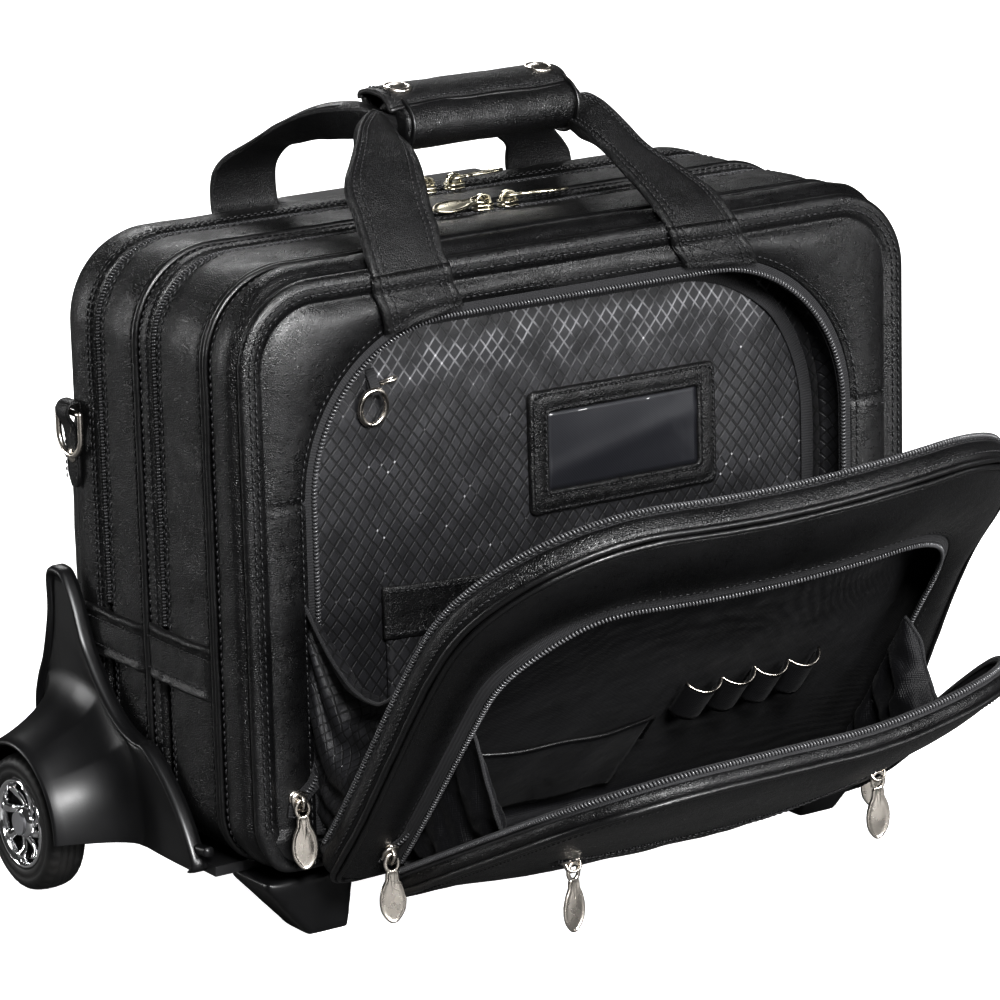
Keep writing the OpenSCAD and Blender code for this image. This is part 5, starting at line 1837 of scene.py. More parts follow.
def strap_points(facing, thick_from, thick_add, stations, surface, seed):
    """Closed sections of the strap and the outward normal of each."""
    stations = np.array(stations, float)
    left = smooth_path(stations[:, :3], STRAP_SPANS)
    right = smooth_path(stations[:, 3:], STRAP_SPANS)
    middle = (left + right) / 2
    n = len(left)
    T = np.gradient(middle, axis=0)
    T /= np.linalg.norm(T, axis=1)[:, None]
    rim = lambda u: math.sqrt(max(0.0, 1 - max(0.0, (abs(u) - 0.93) / 0.07) ** 2))
    groove = lambda u, place, width: math.exp(-((abs(u) - place) / width) ** 2)
    rows, normals = [], []
    for i in range(n):
        width = np.linalg.norm(right[i] - left[i])
        side = (right[i] - left[i]) / width
        normal = np.cross(side, T[i])
        if normal @ np.array([0, facing * 1.0, 0.25 + 1.6 * i / n]) < 0:
            normal = -normal
        normal /= np.linalg.norm(normal)
        f = min(1.0, max(0.0, (i / STRAP_SPANS - thick_from) / 3.0))
        thickness = STRAP_THICKNESS + thick_add * f * f * (3 - 2 * f)
        cup = 1.2 * math.sin(pi * min(1.0, i / (n - 1.0) * 1.3))
        row = []
        for u in STRAP_ACROSS:
            h = thickness / 2 * rim(u)
            h += 0.55 * groove(u, 0.90, 0.05) - 0.5 * groove(u, 0.79, 0.035)
            h -= 0.35 * groove(u, 0.60, 0.03)
            h += (0.5 + thickness * 0.12) * (1 - u * u) + cup * 0.4 * (1 - u * u)
            q = middle[i] + side * (u * width / 2) + normal * h
            row.append(q + normal * 0.5 * fbm(q, 16.0, seed))
        for u in STRAP_ACROSS[::-1]:
            h = -thickness / 2 * rim(u) - 0.02 + cup * 0.4 * (1 - u * u)
            row.append(middle[i] + side * (u * width / 2) + normal * h)
        rows.append(row)
        normals.append(normal)
    P = np.array(rows)
    # the sewn end lies on the case
    half = STRAP_THICKNESS / 2
    for i in range(n):
        for j in range(P.shape[1]):
            x, y, z = P[i, j]
            k = smoothstep(357.0, 345.0, z)
            if k > 0:
                out = facing * (y - middle[i][1])
                on_case = surface(x, min(z, 350.5)) + facing * (
                    half + 0.25 + max(-half, min(3.0, out)))
                P[i, j, 1] = y * (1 - k) + on_case * k
    return P, np.array(normals)


def drop_with_grip(ob):
    squash(ob)


def strap(name, facing, thick_from, thick_add, stations, surface, seed):
    """Leather strap, split where it leaves the case; returns the upper piece."""
    P, normals = strap_points(facing, thick_from, thick_add, stations, surface, seed)
    n = len(P)
    split = int(np.argmax(P[:, :, 2].mean(axis=1) > STRAP_SPLIT_Z))
    Part().tube(P[:split + 1]).build(name + "_sewn", "leather_strap", "case")
    loop = Part().tube(P[split - 1:]).build(name + "_loop", "leather_strap", "case")
    drop_with_grip(loop)

    # stitches in the grooves
    sewn, moving = Part(), Part()
    end = int(n * 0.93)
    for u in (0.79, -0.79, 0.64, -0.64):
        path = P[:, STRAP_ACROSS.index(u)]
        path_normals = normals.copy()
        path_normals[path[:, 2] < 350] = (0, facing, 0)
        sewn.stitches(path[:split + 1], path_normals[:split + 1], **STRAP_STITCH)
        moving.stitches(path[split:end], path_normals[split:end], **STRAP_STITCH)

    columns = len(STRAP_ACROSS)

    def on_end(z, u):
        """Point on the outside of the sewn end."""
        heights = P[:split + 2, :columns, 2].mean(axis=1)
        across = np.stack([np.interp(z, heights, P[:split + 2, j, q])
                           for j in range(columns) for q in range(3)]).reshape(columns, 3)
        return np.array([np.interp(u, STRAP_ACROSS, across[:, q]) for q in range(3)])

    # cross rows and two diagonals
    low, high = P[0, :columns, 2].mean() + 2.0, 343.0
    out = (0, facing, 0)
    for z in (347.5, 344.2, low):
        sewn.stitches([on_end(z, u) for u in np.linspace(-0.78, 0.78, 14)], out,
                      lift=0.25, **STRAP_STITCH)
    for slope in (1, -1):
        sewn.stitches([on_end(low + (high - low) * t, slope * (-0.72 + 1.44 * t))
                       for t in np.linspace(0, 1, 14)], out, lift=0.3, **STRAP_STITCH)
    sewn.build(name + "_thread_sewn", "thread", "case", recalc=False)
    drop_with_grip(moving.build(name + "_thread_loop", "thread", "case", recalc=False))
    return loop


def straps():
    surfaces = {
        -1: depth_finder(tree_of("front_panel_leather", "front_gusset_leather", "welt_front_a",
                                 "welt_front_b"), -160, -93.8),
        1: depth_finder(tree_of("rear_cover_leather"), 160, 89.0)}
    nodes = {"strap_front_left": "front_straps", "strap_rear_left": "rear_straps"}
    for i, (name, (facing, *rest)) in enumerate(STRAPS.items()):
        loop = strap(name, facing, *rest, surfaces[facing], seed=i + 1.0)
        if name in nodes:
            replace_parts(loop, nodes[name])


# ---------------------------------------------------------------- cloth simulation

def settle(ob, steps, gravity, stiffness, **settings):
    """Run the object as cloth, held by its group "pin"; returns the settled coordinates."""
    cloth = ob.modifiers.new("cloth", "CLOTH")
    cloth.settings.tension_stiffness = cloth.settings.compression_stiffness = stiffness
    for key, value in settings.items():
        setattr(cloth.settings, key, value)
    cloth.settings.effector_weights.gravity = gravity
    cloth.settings.vertex_group_mass = "pin"
    cloth.collision_settings.use_collision = False
    cloth.point_cache.frame_start = 1
    cloth.point_cache.frame_end = steps + 1
    for f in range(1, steps + 1):
        bpy.context.scene.frame_set(f)
    evaluated = ob.evaluated_get(bpy.context.evaluated_depsgraph_get())
    places = [v.co.copy() for v in evaluated.to_mesh().vertices]
    evaluated.to_mesh_clear()
    return places


def padded(node, name, material, body, voxel, pressure, cap, hold):
    """Inflate a copy of a CAD solid; hold(p) in drawn mm gives how firmly a point is sewn."""
    source = frame["nodes"][node]
    mesh = source.data.copy()
    mesh.transform(source.matrix_world)
    ob = link_object(name, mesh)
    ob["drawn_shift"] = 1       # the CAD solid already lies in the frame
    remesh = ob.modifiers.new("r", "REMESH")
    remesh.mode = "VOXEL"
    remesh.voxel_size = voxel * MM
    apply_modifiers(ob)
    rest = [v.co.copy() for v in ob.data.vertices]
    group = ob.vertex_groups.new(name="pin")
    for i, c in enumerate(rest):
        weight = hold(Vector((c.x, c.y - CASE_SHIFT, c.z)) / MM)
        if weight > 0:
            group.add([i], min(1.0, weight), "REPLACE")
    places = settle(ob, steps=20, gravity=0, stiffness=14, quality=6, mass=0.3,
                    shear_stiffness=6, bending_stiffness=0.6, use_pressure=True,
                    uniform_pressure_force=pressure)
    ob.modifiers.clear()
    # beyond the cap only a quarter of the travel counts
    for v, start, end in zip(ob.data.vertices, rest, places):
        d = end - start
        travel = d.length / MM
        if travel > cap:
            d *= (cap + 0.25 * min(travel - cap, cap)) / travel
        v.co = start + d
    ob.vertex_groups.clear()
    bpy.context.scene.frame_set(1)
    subdivide(ob)
    ob.data.materials.clear()
    ob.data.materials.append(MATERIALS[material])
    ob.data.update()
    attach(ob, body)
    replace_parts(ob, node)
    return ob


def drape(P, pinned, shrink):
    """Let a grid of points (drawn mm) hang as cloth from its pinned points."""
    R, C = P.shape[:2]
    faces = [[i * C + j, i * C + j + 1, (i + 1) * C + j + 1, (i + 1) * C + j]
             for i in range(R - 1) for j in range(C - 1)]
    mesh = bpy.data.meshes.new("drape")
    mesh.from_pydata((P.reshape(-1, 3) * MM).tolist(), [], faces)
    ob = link_object("drape", mesh)
    group = ob.vertex_groups.new(name="pin")
    group.add([int(i) for i in np.where(pinned.ravel())[0]], 1.0, "REPLACE")
    places = settle(ob, steps=26, gravity=1, stiffness=12.0, quality=7, mass=0.25,
                    shear_stiffness=4, bending_stiffness=0.25, air_damping=4,
                    tension_damping=20, compression_damping=20, shrink_min=shrink)
    bpy.data.objects.remove(ob)
    bpy.data.meshes.remove(mesh)
    bpy.context.scene.frame_set(1)
    return np.array([tuple(c) for c in places]).reshape(R, C, 3) / MM


# ---------------------------------------------------------------- grip and its wrap

def grip_hold(p):
    if abs(p.x) > 53.5:
        return 1.0
    if abs(abs(p.x) - 47.0) < 1.7:
        return 0.8
    return 0.9 if p.z < 394.5 and abs(p.y - 5) < 4 else 0.0


def grip():
    ob = padded("grip_pad", "grip_pad_leather", "leather", "carry_grip", voxel=3.2, pressure=3.0,
                cap=3.0, hold=grip_hold)
    displace(ob, amp=0.45, size=17.0, seed=9.0)
    part = Part()
    for x in (-52.6, 52.6):
        ring = [(x + 0.5 * math.sin(3 * a), 5 + 17.6 * math.cos(a), 407 + 14.6 * math.sin(a))
                for a in turn(60)]
        part.sweep(ring, (1, 0, 0), slab(3.4, 2.0), closed=True)
    part.build("grip_end_binding", "welt", "carry_grip")


# profiles as (y, z): over the grip from rear to front, and up behind it
WRAP_PROFILE = smooth_path([
    (25.6, 420.4), (25.9, 423.2), (23.4, 425.6), (18.5, 426.9), (12, 427.3), (6, 426.5),
    (1.5, 424.6), (-1.8, 421.6), (-3.4, 418.8)], 5)
WRAP_BACK = smooth_path([(18.6, 399.5), (22.4, 403.6), (24.2, 409.0), (25.0, 414.6),
                         (25.4, 420.8)], 5)
SNAP_CAP = [(7.2, -1.6), (7.9, -0.6), (8.0, 0.2), (7.6, 0.9), (6.9, 1.25), (6.2, 1.0),
            (5.8, 0.85), (5.2, 1.2), (4.2, 1.8), (2.8, 2.25), (1.4, 2.4), (0.05, 2.45)]
SNAP_SOCKET = [(3.0, 0.0), (5.6, 0.0), (5.8, -0.8), (5.0, -1.5), (3.4, -1.6), (3.0, -0.6)]


def grip_wrap():
    """Arched sheet over the grip, its sewn part behind the grip, bound edge and stitches."""
    rows = []
    for i, (y, z) in enumerate(WRAP_PROFILE):
        t = i / (len(WRAP_PROFILE) - 1)
        row = []
        for x in np.linspace(-63.5, 53.0, 50):
            end = max(0.0, (abs(x + 5) - 46) / 13.0)
            spread = (1.5 * t if x > 0 else 1.2 * t) if abs(x) > 50 else 0
            row.append((x + spread,
                        y + 0.6 * fbm((x, y, 9.0), 25, 5.0) - 0.8 * math.sin(x * 0.07) * t,
                        z - 1.4 * end * end * (0.4 + 0.6 * t) + 0.5 * fbm((x, y, 3.0), 22, 3.0)))
        rows.append(row)
    wrap = np.array(rows)
    outward = lambda c: (0, 0.2 * (1 if c[1] > 10 else -1), 1)
    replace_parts(sheet("wrap_leather", "leather_strap", wrap, "carry_wrap", 2.6, outward),
                "grip_wrap")

    last = len(WRAP_BACK) - 1
    back = np.array([[(x * (0.93 + 0.07 * i / last), y + 0.4 * fbm((x, z, 1.0), 22, 4.0), z)
                      for x in np.linspace(-61.5, 51.5, 46)]
                     for i, (y, z) in enumerate(WRAP_BACK)])
    sheet("wrap_hinge_leather", "leather_strap", back, "carry_grip", 2.2, BACK)
    part = Part()
    for row in (2, 5):
        part.stitches(back[row][2:-2], (0, 1, -0.3), **WRAP_STITCH)
    part.build("wrap_hinge_thread", "thread", "carry_grip", recalc=False)

    edge = [(x, y - 0.3, z - 0.6) for x, y, z in wrap[-1]]
    Part().sweep(edge, FRONT, circle(1.35, 10)).build("wrap_front_edge", "welt", "carry_wrap")
    part = Part()
    for row, lean in ((6, 0.3), (36, -0.6)):
        part.stitches(wrap[row][2:-2], (0, lean, 1), **WRAP_STITCH)
    for column in (2, 47):
        part.stitches(wrap[6:37, column], UP, **WRAP_STITCH)
    part.build("wrap_thread", "thread", "carry_wrap", recalc=False)


def snaps():
    part = Part()
    for x, y in ((-50, 7.5), (42, 9.0)):
        part.lathe(SNAP_CAP, move(x, y, 426.6) @ turn_x(7), 40)
    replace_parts(part.build("snap_caps_turned", "nickel", "carry_wrap"), "snap_caps")
    part = Part()
    for x in (-50, 42):
        part.lathe(SNAP_SOCKET, move(x, -0.8, 418.6) @ turn_x(52), 24)
    part.build("snap_sockets", "nickel", "carry_wrap")


# ---------------------------------------------------------------- ring tabs and back panel

# folded tab as (x, z), from inside the ring over it and down the side
TAB_PATH = smooth_path([
    (213.9, 262.5), (214.6, 266.2), (217.0, 267.4), (220.6, 266.6), (222.4, 263.4),
    (221.8, 259.8), (219.6, 256.2), (217.6, 250), (216.9, 242), (216.6, 234), (216.4, 226),
    (216.2, 220.5)], 6)
TAB_Y = 78.0
RIVET = [(4.2, -1.0), (4.3, 0.0), (3.9, 0.7), (2.6, 1.2), (1.2, 1.45), (0.05, 1.5)]


def ring_tab(sx, side):
    last = len(TAB_PATH) - 1
    widths = [1.0 - 0.55 * max(0.0, (i / last - 0.88) / 0.12) for i in range(last + 1)]
    section = lambda i: [(b, a * widths[i]) for a, b in slab(13.0, 2.3)]
    part = Part().sweep([(sx * x, TAB_Y, z) for x, z in TAB_PATH], BACK, section)
    tab = part.build("ring_tab_leather_" + side[0], "leather_strap", "case")
    if sx < 0:
        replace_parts(tab, "ring_tabs")
    Part().lathe(RIVET, move(sx * 217.8, TAB_Y, 238) @ turn_y(sx * 90), 28).build(
        "ring_rivet_" + side[0], "nickel", "case")
    part = Part()
    for dy in (-5.2, 5.2):
        part.stitches([(sx * 218.2, TAB_Y + dy, z) for z in np.linspace(250, 224, 8)],
                      (sx, 0, 0), **TAB_STITCH)
    part.build("ring_tab_thread_" + side[0], "thread", "case", recalc=False)


def back_hold(p):
    """The edges and two seams across the panel are sewn down."""
    held = (p.y < 104 or abs(p.z - 118) < 3.2 or abs(p.z - 190) < 3.2
            or abs(abs(p.x) - 205) < 4 or p.z < 46 or p.z > 261)
    return 1.0 if held else 0.0


def back_panel():
    panel = padded("back_panel", "back_panel_leather", "leather_soft", "case", voxel=5.5,
                   pressure=4.0, cap=7.0, hold=back_hold)
    displace(panel, amp=0.5, size=30.0, seed=3.0, mask=lambda p: p.y > 100 + CASE_SHIFT / MM)
    depth = depth_finder(tree_of("back_panel_leather"), 190, 112.0)
    part = Part()
    for z in (116.6, 119.4, 188.6, 191.4):
        part.stitches([(x, depth(x, z), z) for x in np.linspace(-196, 196, 90)], BACK, pitch=4.0)
    centre = (0, 153.5)
    border = resample(rounded_rect(396, 210, 22, 8, centre), 260, closed=True)
    part.stitches(at_depth(border, depth), BACK, pitch=4.0, closed=True)
    part.build("back_panel_thread", "thread", "case", recalc=False)
    border = resample(rounded_rect(411, 224, 26, 10, centre), 300, closed=True)
    Part().sweep(at_depth(border, 92.6), BACK, circle(2.2, 10), closed=True).build(
        "back_panel_welt", "welt", "case")


# ---------------------------------------------------------------- zip sliders and pulls

def mirrored(half, count):
    """Clockwise loop from its right half, given from top to bottom."""
    points = half + [(-x, z) for x, z in half[::-1][1:-1]]
    return resample(smooth_path(points, 6, closed=True), count, closed=True)


PLATE = mirrored([(0, -6.0), (2.7, -6.3), (3.7, -8.6), (3.9, -11.5), (5.6, -15.0), (6.9, -19.5),
                  (7.2, -24.0), (6.3, -29.0), (3.8, -33.0), (1.7, -34.9), (0, -35.2)], 72)
SHIELD = mirrored([(0, 5.6), (2.4, 5.4), (4.4, 3.9), (4.9, 1.4), (4.2, -1.2), (3.7, -3.6),
                   (3.4, -5.2), (1.6, -5.9), (0, -6.0)], 48)
# profiles of (inset, scale about the centre, y) from the back to the front
PLATE_PROFILE = [
    (0, 0.02, 0.8), (1.5, 0.8, 0.82), (0.8, 1, 0.8), (0.3, 1, 0.66), (0.0, 1, 0.3),
    (0.0, 1, -0.35), (0.3, 1, -0.75), (0.75, 1, -0.92), (1.2, 1, -0.9), (1.55, 1, -0.62),
    (1.9, 1, -0.5), (2.3, 0.93, -0.5), (2.3, 0.72, -0.62), (2.3, 0.45, -0.74), (2.3, 0.2, -0.8),
    (2.3, 0.02, -0.8)]
SLIDER_BACK = [(0.8, 0.02, 0.4), (0.6, 1, 0.4), (0.1, 1, 0.1), (0, 1, -0.5), (0.2, 1, -1.0),
               (0.8, 0.9, -1.1), (0.8, 0.02, -1.1)]
SLIDER_FRONT = [(0.8, 0.02, -1.9), (0.6, 0.96, -1.9), (0.1, 1, -2.1), (0, 1, -2.7),
                (0.25, 1, -3.2), (0.7, 1, -3.5), (1.5, 0.95, -3.7), (1.8, 0.5, -3.95),
                (1.8, 0.02, -4.05)]
SLIDER_BRIDGE = [(0, -2.6, 4.3), (0, -4.8, 4.2), (0, -6.9, 3.3), (0, -7.9, 1.2), (0, -8.0, -1.4),
                 (0, -6.9, -3.4), (0, -4.6, -4.4), (0, -2.6, -4.6)]
PIVOT_Y = -5.6      # of a pull, in front of its slider


def pillow(part, loop, profile, centre=(0, 0)):
    """Plate from a clockwise loop."""
    inward = right_hand_normals(loop)
    centre = np.array(centre)
    rows = [at_depth(centre + (loop + inward * inset - centre) * scale, y)
            for inset, scale, y in profile]
    part.grid(np.array(rows), wrap_columns=True)


def pull():
    part = Part()
    pillow(part, PLATE, PLATE_PROFILE, (0, -21.5))
    ring = [(3.55 * math.sin(a), 0, -2.6 + 4.6 * math.cos(a)) for a in turn(36)]
    return part.sweep(ring, BACK, slab(2.2, 1.7, 0.75), closed=True)


def slider():
    part = Part()
    pillow(part, SHIELD, SLIDER_BACK)
    pillow(part, SHIELD, SLIDER_FRONT)
    part.sweep([(0, 0, 3.0), (0, -1.2, 3.2), (0, -2.4, 3.0)], (1, 0, 0), slab(4.6, 3.4))
    return part.sweep(smooth_path(SLIDER_BRIDGE, 4), (1, 0, 0), slab(1.5, 2.7, 0.55))


def zip_end(points, width, tape_name, coil_name, body, matrix=None):
    """Tape and coil that run out under a slider."""
    path = smooth_path(points, 8)
    strip = Part().sweep(path, FRONT, slab(width, 0.9))
    coil = Part().coil(path + np.array([0, -0.7, 0]), FRONT, **END_COIL)
    for part, name, material in ((strip, tape_name, "tape"), (coil, coil_name, "teeth")):
        ob = part.build(name, material, None, recalc=material == "tape")
        if matrix is not None:
            moved = np.array([matrix @ (v.co / MM) for v in ob.data.vertices]) * MM
            ob.data.vertices.foreach_set("co", moved.ravel())
            ob.data.update()
        ride(ob, body)


def front_sliders():
    depth = depth_finder(tree_of("front_panel_leather", "front_gusset_leather", "welt_front_a",
                                 "welt_front_b"), -160, -93.8)
    for sx, side in SIDES:
        x, z = sx * 188.4, 82.0
        y = depth(x, z) + 0.5
        ob = Part().place(slider(), move(x, y, z)).build(
            "zip_slider_front_" + side[0], "nickel", "case")
        if sx < 0:
            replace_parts(ob, "front_sliders")
        hang = move(x, y + PIVOT_Y, z - 0.6) @ turn_x(-3.0) @ turn_z(-14.0 if sx < 0 else -6.0)
        ob = Part().place(pull(), hang).build(
            "zip_pull_plate_front_" + side[0], "nickel", "zip_pull_front_" + side)
        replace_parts(ob, "pull_front_" + side)
        zip_end([(sx * 172.4, -91.6, 108), (sx * 173.2, -92.0, 98), (sx * 177.5, y - 0.4, 90),
                 (sx * 184, y - 0.9, 84.5), (sx * 189, y - 0.9, 80), (sx * 190.5, y - 0.7, 73)],
                8.4, "front_zip_end_" + side[0], "front_zip_end_coil_" + side[0], "case")


def face_finder(flap, name):
    """Function of x and z that gives the y of a face, all in the flap's frame."""
    tree = tree_of(name)
    inverse = flap.matrix_mm.inverted()
    direction = flap.matrix_mm.to_3x3() @ Vector((0, 1, 0))

    def find(x, z):
        hit = tree.ray_cast(flap.matrix_mm @ Vector((x, -90, z)), direction)[0]
        return (inverse @ hit).y if hit is not None else -24.0
    return find


def flap_sliders():
    depth = face_finder(LARGE, "flap_1_face_leather")
    for sx, side in SIDES:
        x, z = sx * 156.8, 30.0
        y = depth(x, z) + 0.6
        ob = Part().place(slider(), LARGE.matrix_mm @ move(x, y, z)).build(
            "zip_slider_flap_" + side[0], "nickel", "flap_1")
        if sx < 0:
            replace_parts(ob, "flap_sliders")
        hang = (LARGE.matrix_mm @ move(x, y + PIVOT_Y, z - 0.6) @ turn_x(-42.0)
                @ turn_z(-15.0 if sx < 0 else -6.0))
        ob = Part().place(pull(), hang).build(
            "zip_pull_plate_flap_" + side[0], "nickel", "zip_pull_flap_" + side)
        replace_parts(ob, "pull_flap_" + side)
        zip_end([(sx * 146.5, -20.6, 52), (sx * 147.0, -21.2, 44), (sx * 150.5, y - 0.2, 37),
                 (sx * 154.5, y - 0.6, 32.5), (sx * 157.6, y - 0.6, 27), (sx * 158.4, y - 0.4, 20)],
                8.0, "flap_1_zip_end_tape_" + side[0], "flap_1_zip_end_coil_" + side[0],
                "flap_1", LARGE.matrix_mm)


def pocket_sliders():
    depth = face_finder(SMALL, "flap_2_face_leather")
    for x, side, yaw in ((-101.0, "left", 8), (98.0, "right", -5)):
        y = depth(x, SMALL_ZIP_Z) + 0.4
        part = Part()
        part.place(slider(), SMALL.matrix_mm @ move(x, y, SMALL_ZIP_Z) @ turn_y(90))
        part.place(pull(), SMALL.matrix_mm @ move(x, y + PIVOT_Y, SMALL_ZIP_Z) @ turn_x(-64.0)
                   @ turn_z(yaw))
        ob = part.build("pocket_slider_" + side[0], "nickel", "zip_slider_pocket_" + side)
        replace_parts(ob, "slider_pocket_" + side)


def top_sliders():
    """Sliders on top of the case; direction is the sense of the slider along x."""
    # x, y, direction, name, yaw and tip of the pull in degrees
    for x, y, direction, name, yaw, tip in (
            (-4, 53, -1, "rear_left", 11, -7), (14, 53, 1, "rear_right", -8, -4),
            (-6, -6, -1, "middle_left", -9, -6), (10, -6, 1, "middle_right", 13, -3)):
        base = Matrix(((0, 0, -direction, x), (direction, 0, 0, y), (0, -1, 0, 356.9),
                       (0, 0, 0, 1)))
        part = Part().place(slider(), base)
        part.place(pull(), base @ move(0, PIVOT_Y, 0) @ turn_x(-tip - 4) @ turn_y(yaw)
                   @ turn_z(10))
        ob = part.build("top_slider_" + name, "pewter", "zip_slider_" + name)
        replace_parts(ob, "slider_" + name)


def organizer_clip():
    """Small clip of two wire loops that hangs in the organizer."""
    loops = (
        (1.0, [(10, -69.6, 186), (4, -71, 183.5), (2, -71.6, 179.5), (6, -71.4, 176.5),
               (13, -70.6, 177.2), (17, -70, 181), (15, -69.6, 185)]),
        (1.1, [(17, -70, 182), (22, -71, 184.6), (30, -71.4, 185), (33, -71.0, 181.6),
               (29, -70.6, 179.0), (22, -70, 179.6)]))
    part = Part()
    for radius, points in loops:
        part.sweep(smooth_path(points, 6, closed=True), FRONT, circle(radius), closed=True)
    part.build("organizer_clip", "nickel", "case")


# ---------------------------------------------------------------- cloth beside and below the flaps

def gusset(name, material, edge_a, edge_b, inward, depth, bodies, start, end, keep, shape,
           seed, folds, shrink=-0.1):
    """Cloth hung between two edges, with a hem; keep moves a point to where it is allowed."""
    R, C = shape
    P = np.zeros((R, C, 3))
    for i in range(R):
        v = i / (R - 1)
        a, b = np.array(edge_a(v)), np.array(edge_b(v))
        for j in range(C):
            u = j / (C - 1)
            belly = math.sin(pi * u)
            ripple = (math.sin(9.0 * u + 5.0 * v + seed)
                      + 1.4 * fbm((u * 90, v * 90, seed), 16, seed))
            q = a + (b - a) * u + np.array(inward) * depth * belly * (0.25 + 0.75 * v)
            P[i, j] = q + np.array(inward) * folds * belly * ripple
    width = np.linalg.norm(P[R // 2, 1:] - P[R // 2, :-1], axis=1).sum()
    height = np.linalg.norm(P[1:, C // 2] - P[:-1, C // 2], axis=1).sum()
    pinned = np.zeros((R, C), bool)
    pinned[:, 0] = pinned[:, -1] = pinned[0, :] = True
    cloth = drape(P, pinned, shrink)
    for i in range(R):
        for j in range(1, C - 1):
            cloth[i, j] = keep(cloth[i, j])
    part = Part().grid(cloth, uv=lambda i, j: (1.3 * width * j / (C - 1) * MM,
                                               1.3 * height * i / (R - 1) * MM))
    ob = subdivide(part.build(name, material, None, recalc=False))
    solidify(ob, 0.8, 0.0)
    blend(ob, *bodies, start, end)
    hem = Part().sweep(smooth_path(cloth[-1], 3), UP, circle(1.1))
    blend(hem.build(name + "_hem", "tape", None), *bodies, start, end)


def gussets():
    to_large, to_small = LARGE.matrix_mm.inverted(), SMALL.matrix_mm.inverted()

    def on_flap(flap, point):
        return tuple(flap.matrix_mm @ Vector(flap.curl(point)))

    def above_flap(flap, inverse, v, clearance):
        """Lift a point off the curled flap."""
        f = inverse @ v
        low = flap.curl((v.x, 0, f.z))[1] - clearance
        if f.y < low:
            f.y = low
            v = flap.matrix_mm @ f
        return v

    def keep_organizer(p):
        v = Vector(p)
        v.x = max(-178.5, min(178.5, v.x))
        v = above_flap(LARGE, to_large, v, 1.2)
        return (v.x, min(v.y, -66.0), max(v.z, 57.5))

    def keep_flap(p):
        v = Vector(p)
        v.x = max(-143.2, min(146.0, v.x))
        v = above_flap(SMALL, to_small, v, 8.5)
        f = to_large @ v
        f.y = min(f.y, -7.5 + LARGE.curl((v.x, 0, f.z))[1])
        v = LARGE.matrix_mm @ f
        return (v.x, v.y, v.z)

    start = tuple((LARGE.matrix_mm @ Vector((0, -20.0, 60))) * MM)
    end = tuple((LARGE.matrix_mm @ Vector((0, -56.0, 60))) * MM)
    for sx, side in SIDES:
        gusset("organizer_gusset_" + side[0], "lining",
               lambda v: (sx * 177.2, -88.6, 60 + 128 * v),
               lambda v: on_flap(LARGE, (sx * 175.6, -3.2, 12 + 146 * v)),
               (-sx, 0.0, 0.0), 24.0, ("case", "flap_1"), (0, -0.092, 0.12), (0, -0.167, 0.12),
               keep_organizer, shape=(30, 34), seed=1.3 * sx, folds=3.0)
        gusset("flap_gusset_" + side[0], "nylon",
               lambda v: on_flap(LARGE, (sx * 142.8, -18.2, 16 + 112 * v)),
               lambda v: on_flap(SMALL, (sx * 142.6, -5.0, 10 + 106 * v)),
               (-sx, 0.0, 0.15), 17.0, ("flap_1", "flap_2"), start, end,
               keep_flap, shape=(26, 26), seed=2.1 * sx + 4, folds=3.2, shrink=-0.14)


def hinge_web(name, material, edge_a, edge_b, half_width, bodies):
    """Cloth along a hinge line, so that nothing opens up below the flap."""
    rows = []
    for i in range(9):
        u = i / 8
        row = []
        for x in np.linspace(-half_width, half_width, 90):
            a, b = np.array(tuple(edge_a(x))), np.array(tuple(edge_b(x)))
            q = a + (b - a) * u
            q[2] += math.sin(pi * u) * (0.6 + 0.8 * fbm((x, u * 20, 4.0), 18, 5.0))
            row.append(q)
        rows.append(row)
    P = np.array(rows)
    part = Part().grid(P, uv=lambda i, j: (P[i, j, 0] * MM, i * 0.003))
    ob = solidify(part.build(name, material, None, recalc=False), 0.8, 0.0)
    start, end = (tuple(np.array(tuple(edge(0.0))) * MM) for edge in (edge_a, edge_b))
    blend(ob, *bodies, start, end)


def hinge_webs():
    hinge_web("organizer_hinge_web", "lining", lambda x: (x, -88.8, 62.5),
              lambda x: LARGE.matrix_mm @ Vector((x * 0.99, -4.2, 12.0)), 171.0,
              ("case", "flap_1"))
    hinge_web("flap_hinge_web", "nylon", lambda x: LARGE.matrix_mm @ Vector((x, -17.6, 15.0)),
              lambda x: SMALL.matrix_mm @ Vector((x * 0.985, -8.6, 9.5)), 143.5,
              ("flap_1", "flap_2"))


# ---------------------------------------------------------------- assign_slots, which changes nothing; camera, floor, light

def assign_slots():
    cad_names = {o.name for o in frame["nodes"].values()}
    for ob in list(bpy.data.objects):
        if ob.type != "MESH" or ob.name in cad_names:
            continue


def camera():
    # view direction and roll, radians
    azimuth, pitch, roll = 0.5828660050737876, 0.2554620286837769, -0.025027999030059048
    # distance to the target, its place to the right of the origin and its height, mm
    distance, target_right, target_z = 2766.118470320824, 3.5920228030049817, 192.7931436029604
    forward = np.array([math.sin(azimuth) * math.cos(pitch), math.cos(azimuth) * math.cos(pitch),
                        -math.sin(pitch)])
    level = np.array([math.cos(azimuth), -math.sin(azimuth), 0.0])
    upright = np.cross(level, forward)
    right = math.cos(roll) * level + math.sin(roll) * upright
    up = -math.sin(roll) * level + math.cos(roll) * upright
    target = target_right * level + np.array([0, 0, target_z])
    place = (target - distance * forward) * MM
    place[1] += CASE_SHIFT
    data = bpy.data.cameras.new("camera")
    data.sensor_width = 36.0
    data.lens = 181.761655458
    data.clip_end = 50
    ob = link_object("camera", data)
    axes = Matrix((right.tolist(), up.tolist(), (-forward).tolist())).transposed()
    ob.matrix_world = Matrix.Translation(Vector(place)) @ axes.to_4x4()
    bpy.context.scene.camera = ob


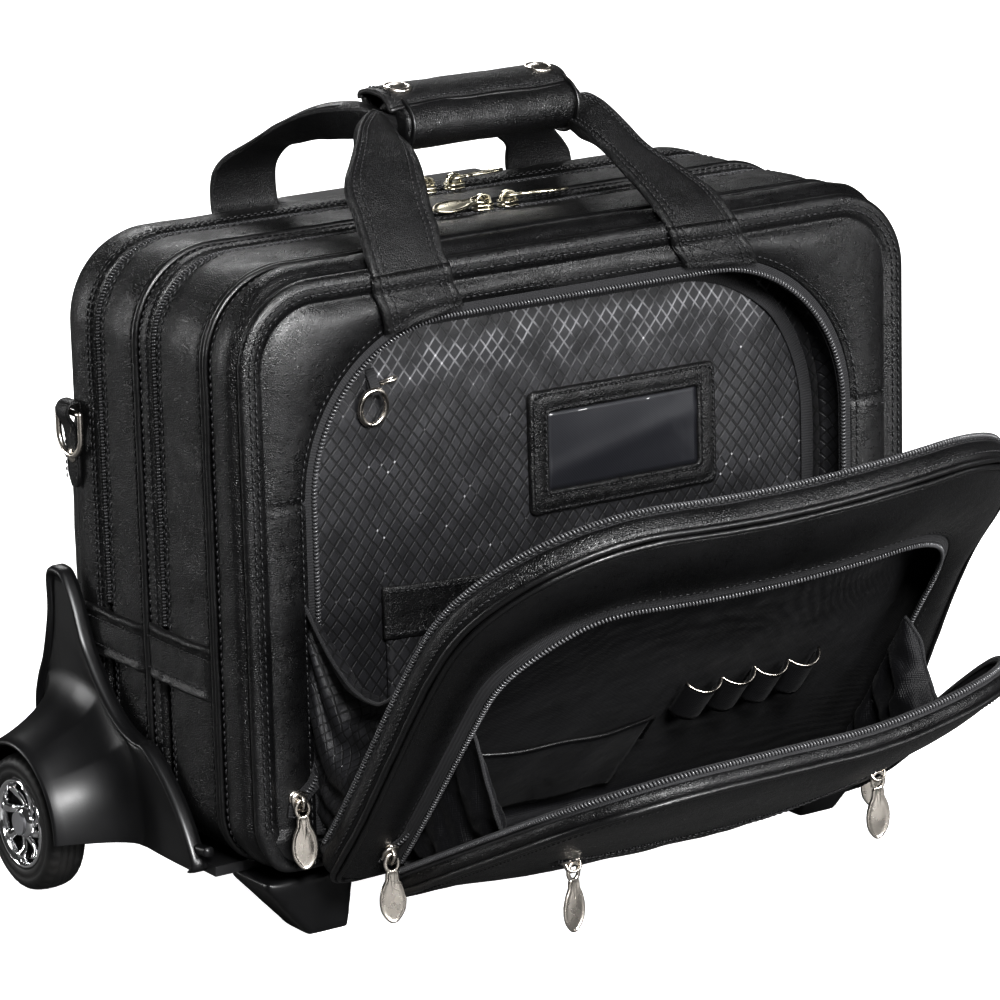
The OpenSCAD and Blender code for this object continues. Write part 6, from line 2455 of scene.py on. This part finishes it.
def floor():
    """Large pale floor that looks bright to the camera but throws little light."""
    mesh = bpy.data.meshes.new("floor")
    mesh.from_pydata([(-9, -9, 0), (9, -9, 0), (9, 9, 0), (-9, 9, 0)], [], [(0, 1, 2, 3)])
    ob = link_object("floor", mesh)
    s = Shader("floor_pale")
    seen = s.node("LightPath").outputs["Is Camera Ray"]
    mesh.materials.append(s.finish({
        "Roughness": 0.65,
        "Emission Color": (1, 1, 1),
        "Emission Strength": s.remap(seen, span=(0, 1), to=(0.0, 0.66)),
        "Base Color": s.mix(seen, (0.10, 0.10, 0.10), (0.84, 0.84, 0.84))}))


def world():
    """White to the camera, dim as a light."""
    studio = bpy.data.worlds.new("studio")
    bpy.context.scene.world = studio
    studio.use_nodes = True
    s = Nodes(studio.node_tree)
    background = studio.node_tree.nodes["Background"]
    seen = s.node("LightPath").outputs["Is Camera Ray"]
    s.feed(background.inputs[0], (1.0, 1.0, 1.0))
    s.feed(background.inputs[1], s.remap(seen, span=(0.0, 1.0), to=(0.05, 1.0)))
    view = bpy.context.scene.view_settings
    view.view_transform = "Standard"
    view.look = "None"
    view.exposure = 0.6
    view.gamma = 0.75


# name, place, target, width, height (m), power (W)
LIGHTS = [
    ("key", (0.25, -2.65, 1.05), (-0.05, -0.05, 0.22), 0.8, 0.6, 50),
    ("key_left", (-1.0, -2.3, 1.7), (-0.1, -0.05, 0.25), 0.7, 0.5, 100),
    ("front_low", (1.1, -2.4, 0.5), (0, 0, 0.2), 0.4, 0.6, 17),
    ("side", (-1.9, 2.1, 0.6), (-0.1, 0, 0.2), 0.35, 1.5, 22),
    ("fill", (2.4, -1.3, 1.0), (0, 0, 0.2), 0.8, 0.9, 8),
    ("top", (0.8, 2.3, 1.9), (0, 0, 0.3), 1.2, 0.5, 18),
    ("floor_wash", (-0.4, -1.0, 3.2), (0, -0.3, 0.0), 1.4, 1.4, 15),
]


def lights():
    for name, place, target, width, height, power in LIGHTS:
        data = bpy.data.lights.new(name, "AREA")
        data.energy = power
        data.size = width
        data.shape = "RECTANGLE"
        data.size_y = height
        ob = link_object(name, data)
        ob.location = shifted_point(place)
        aim = Vector(shifted_point(target)) - Vector(shifted_point(place))
        ob.rotation_euler = aim.to_track_quat("-Z", "Y").to_euler()


# ---------------------------------------------------------------- build, in order

rear_cover()
case_bands()
front_panel()
case_welts()
body_zips()
case_stitching()
side_bands()

organizer_tray()
organizer_tapes()
front_zip()
window()
document_pocket()
key_ring()

for sx, side in SIDES:
    wing(sx, side)
    wheel(sx, side)
dress_kept_pieces()

large_rim()
large_face()
large_linings()
large_zips()
large_stitching()
large_pockets()
small_shell()
small_lining()
small_zips()

straps()
grip()
grip_wrap()
snaps()
for sx, side in SIDES:
    ring_tab(sx, side)
back_panel()

front_sliders()
flap_sliders()
pocket_sliders()
top_sliders()
organizer_clip()
gussets()
hinge_webs()
assign_slots()

camera()
floor()
world()
lights()

bpy.context.view_layer.update()
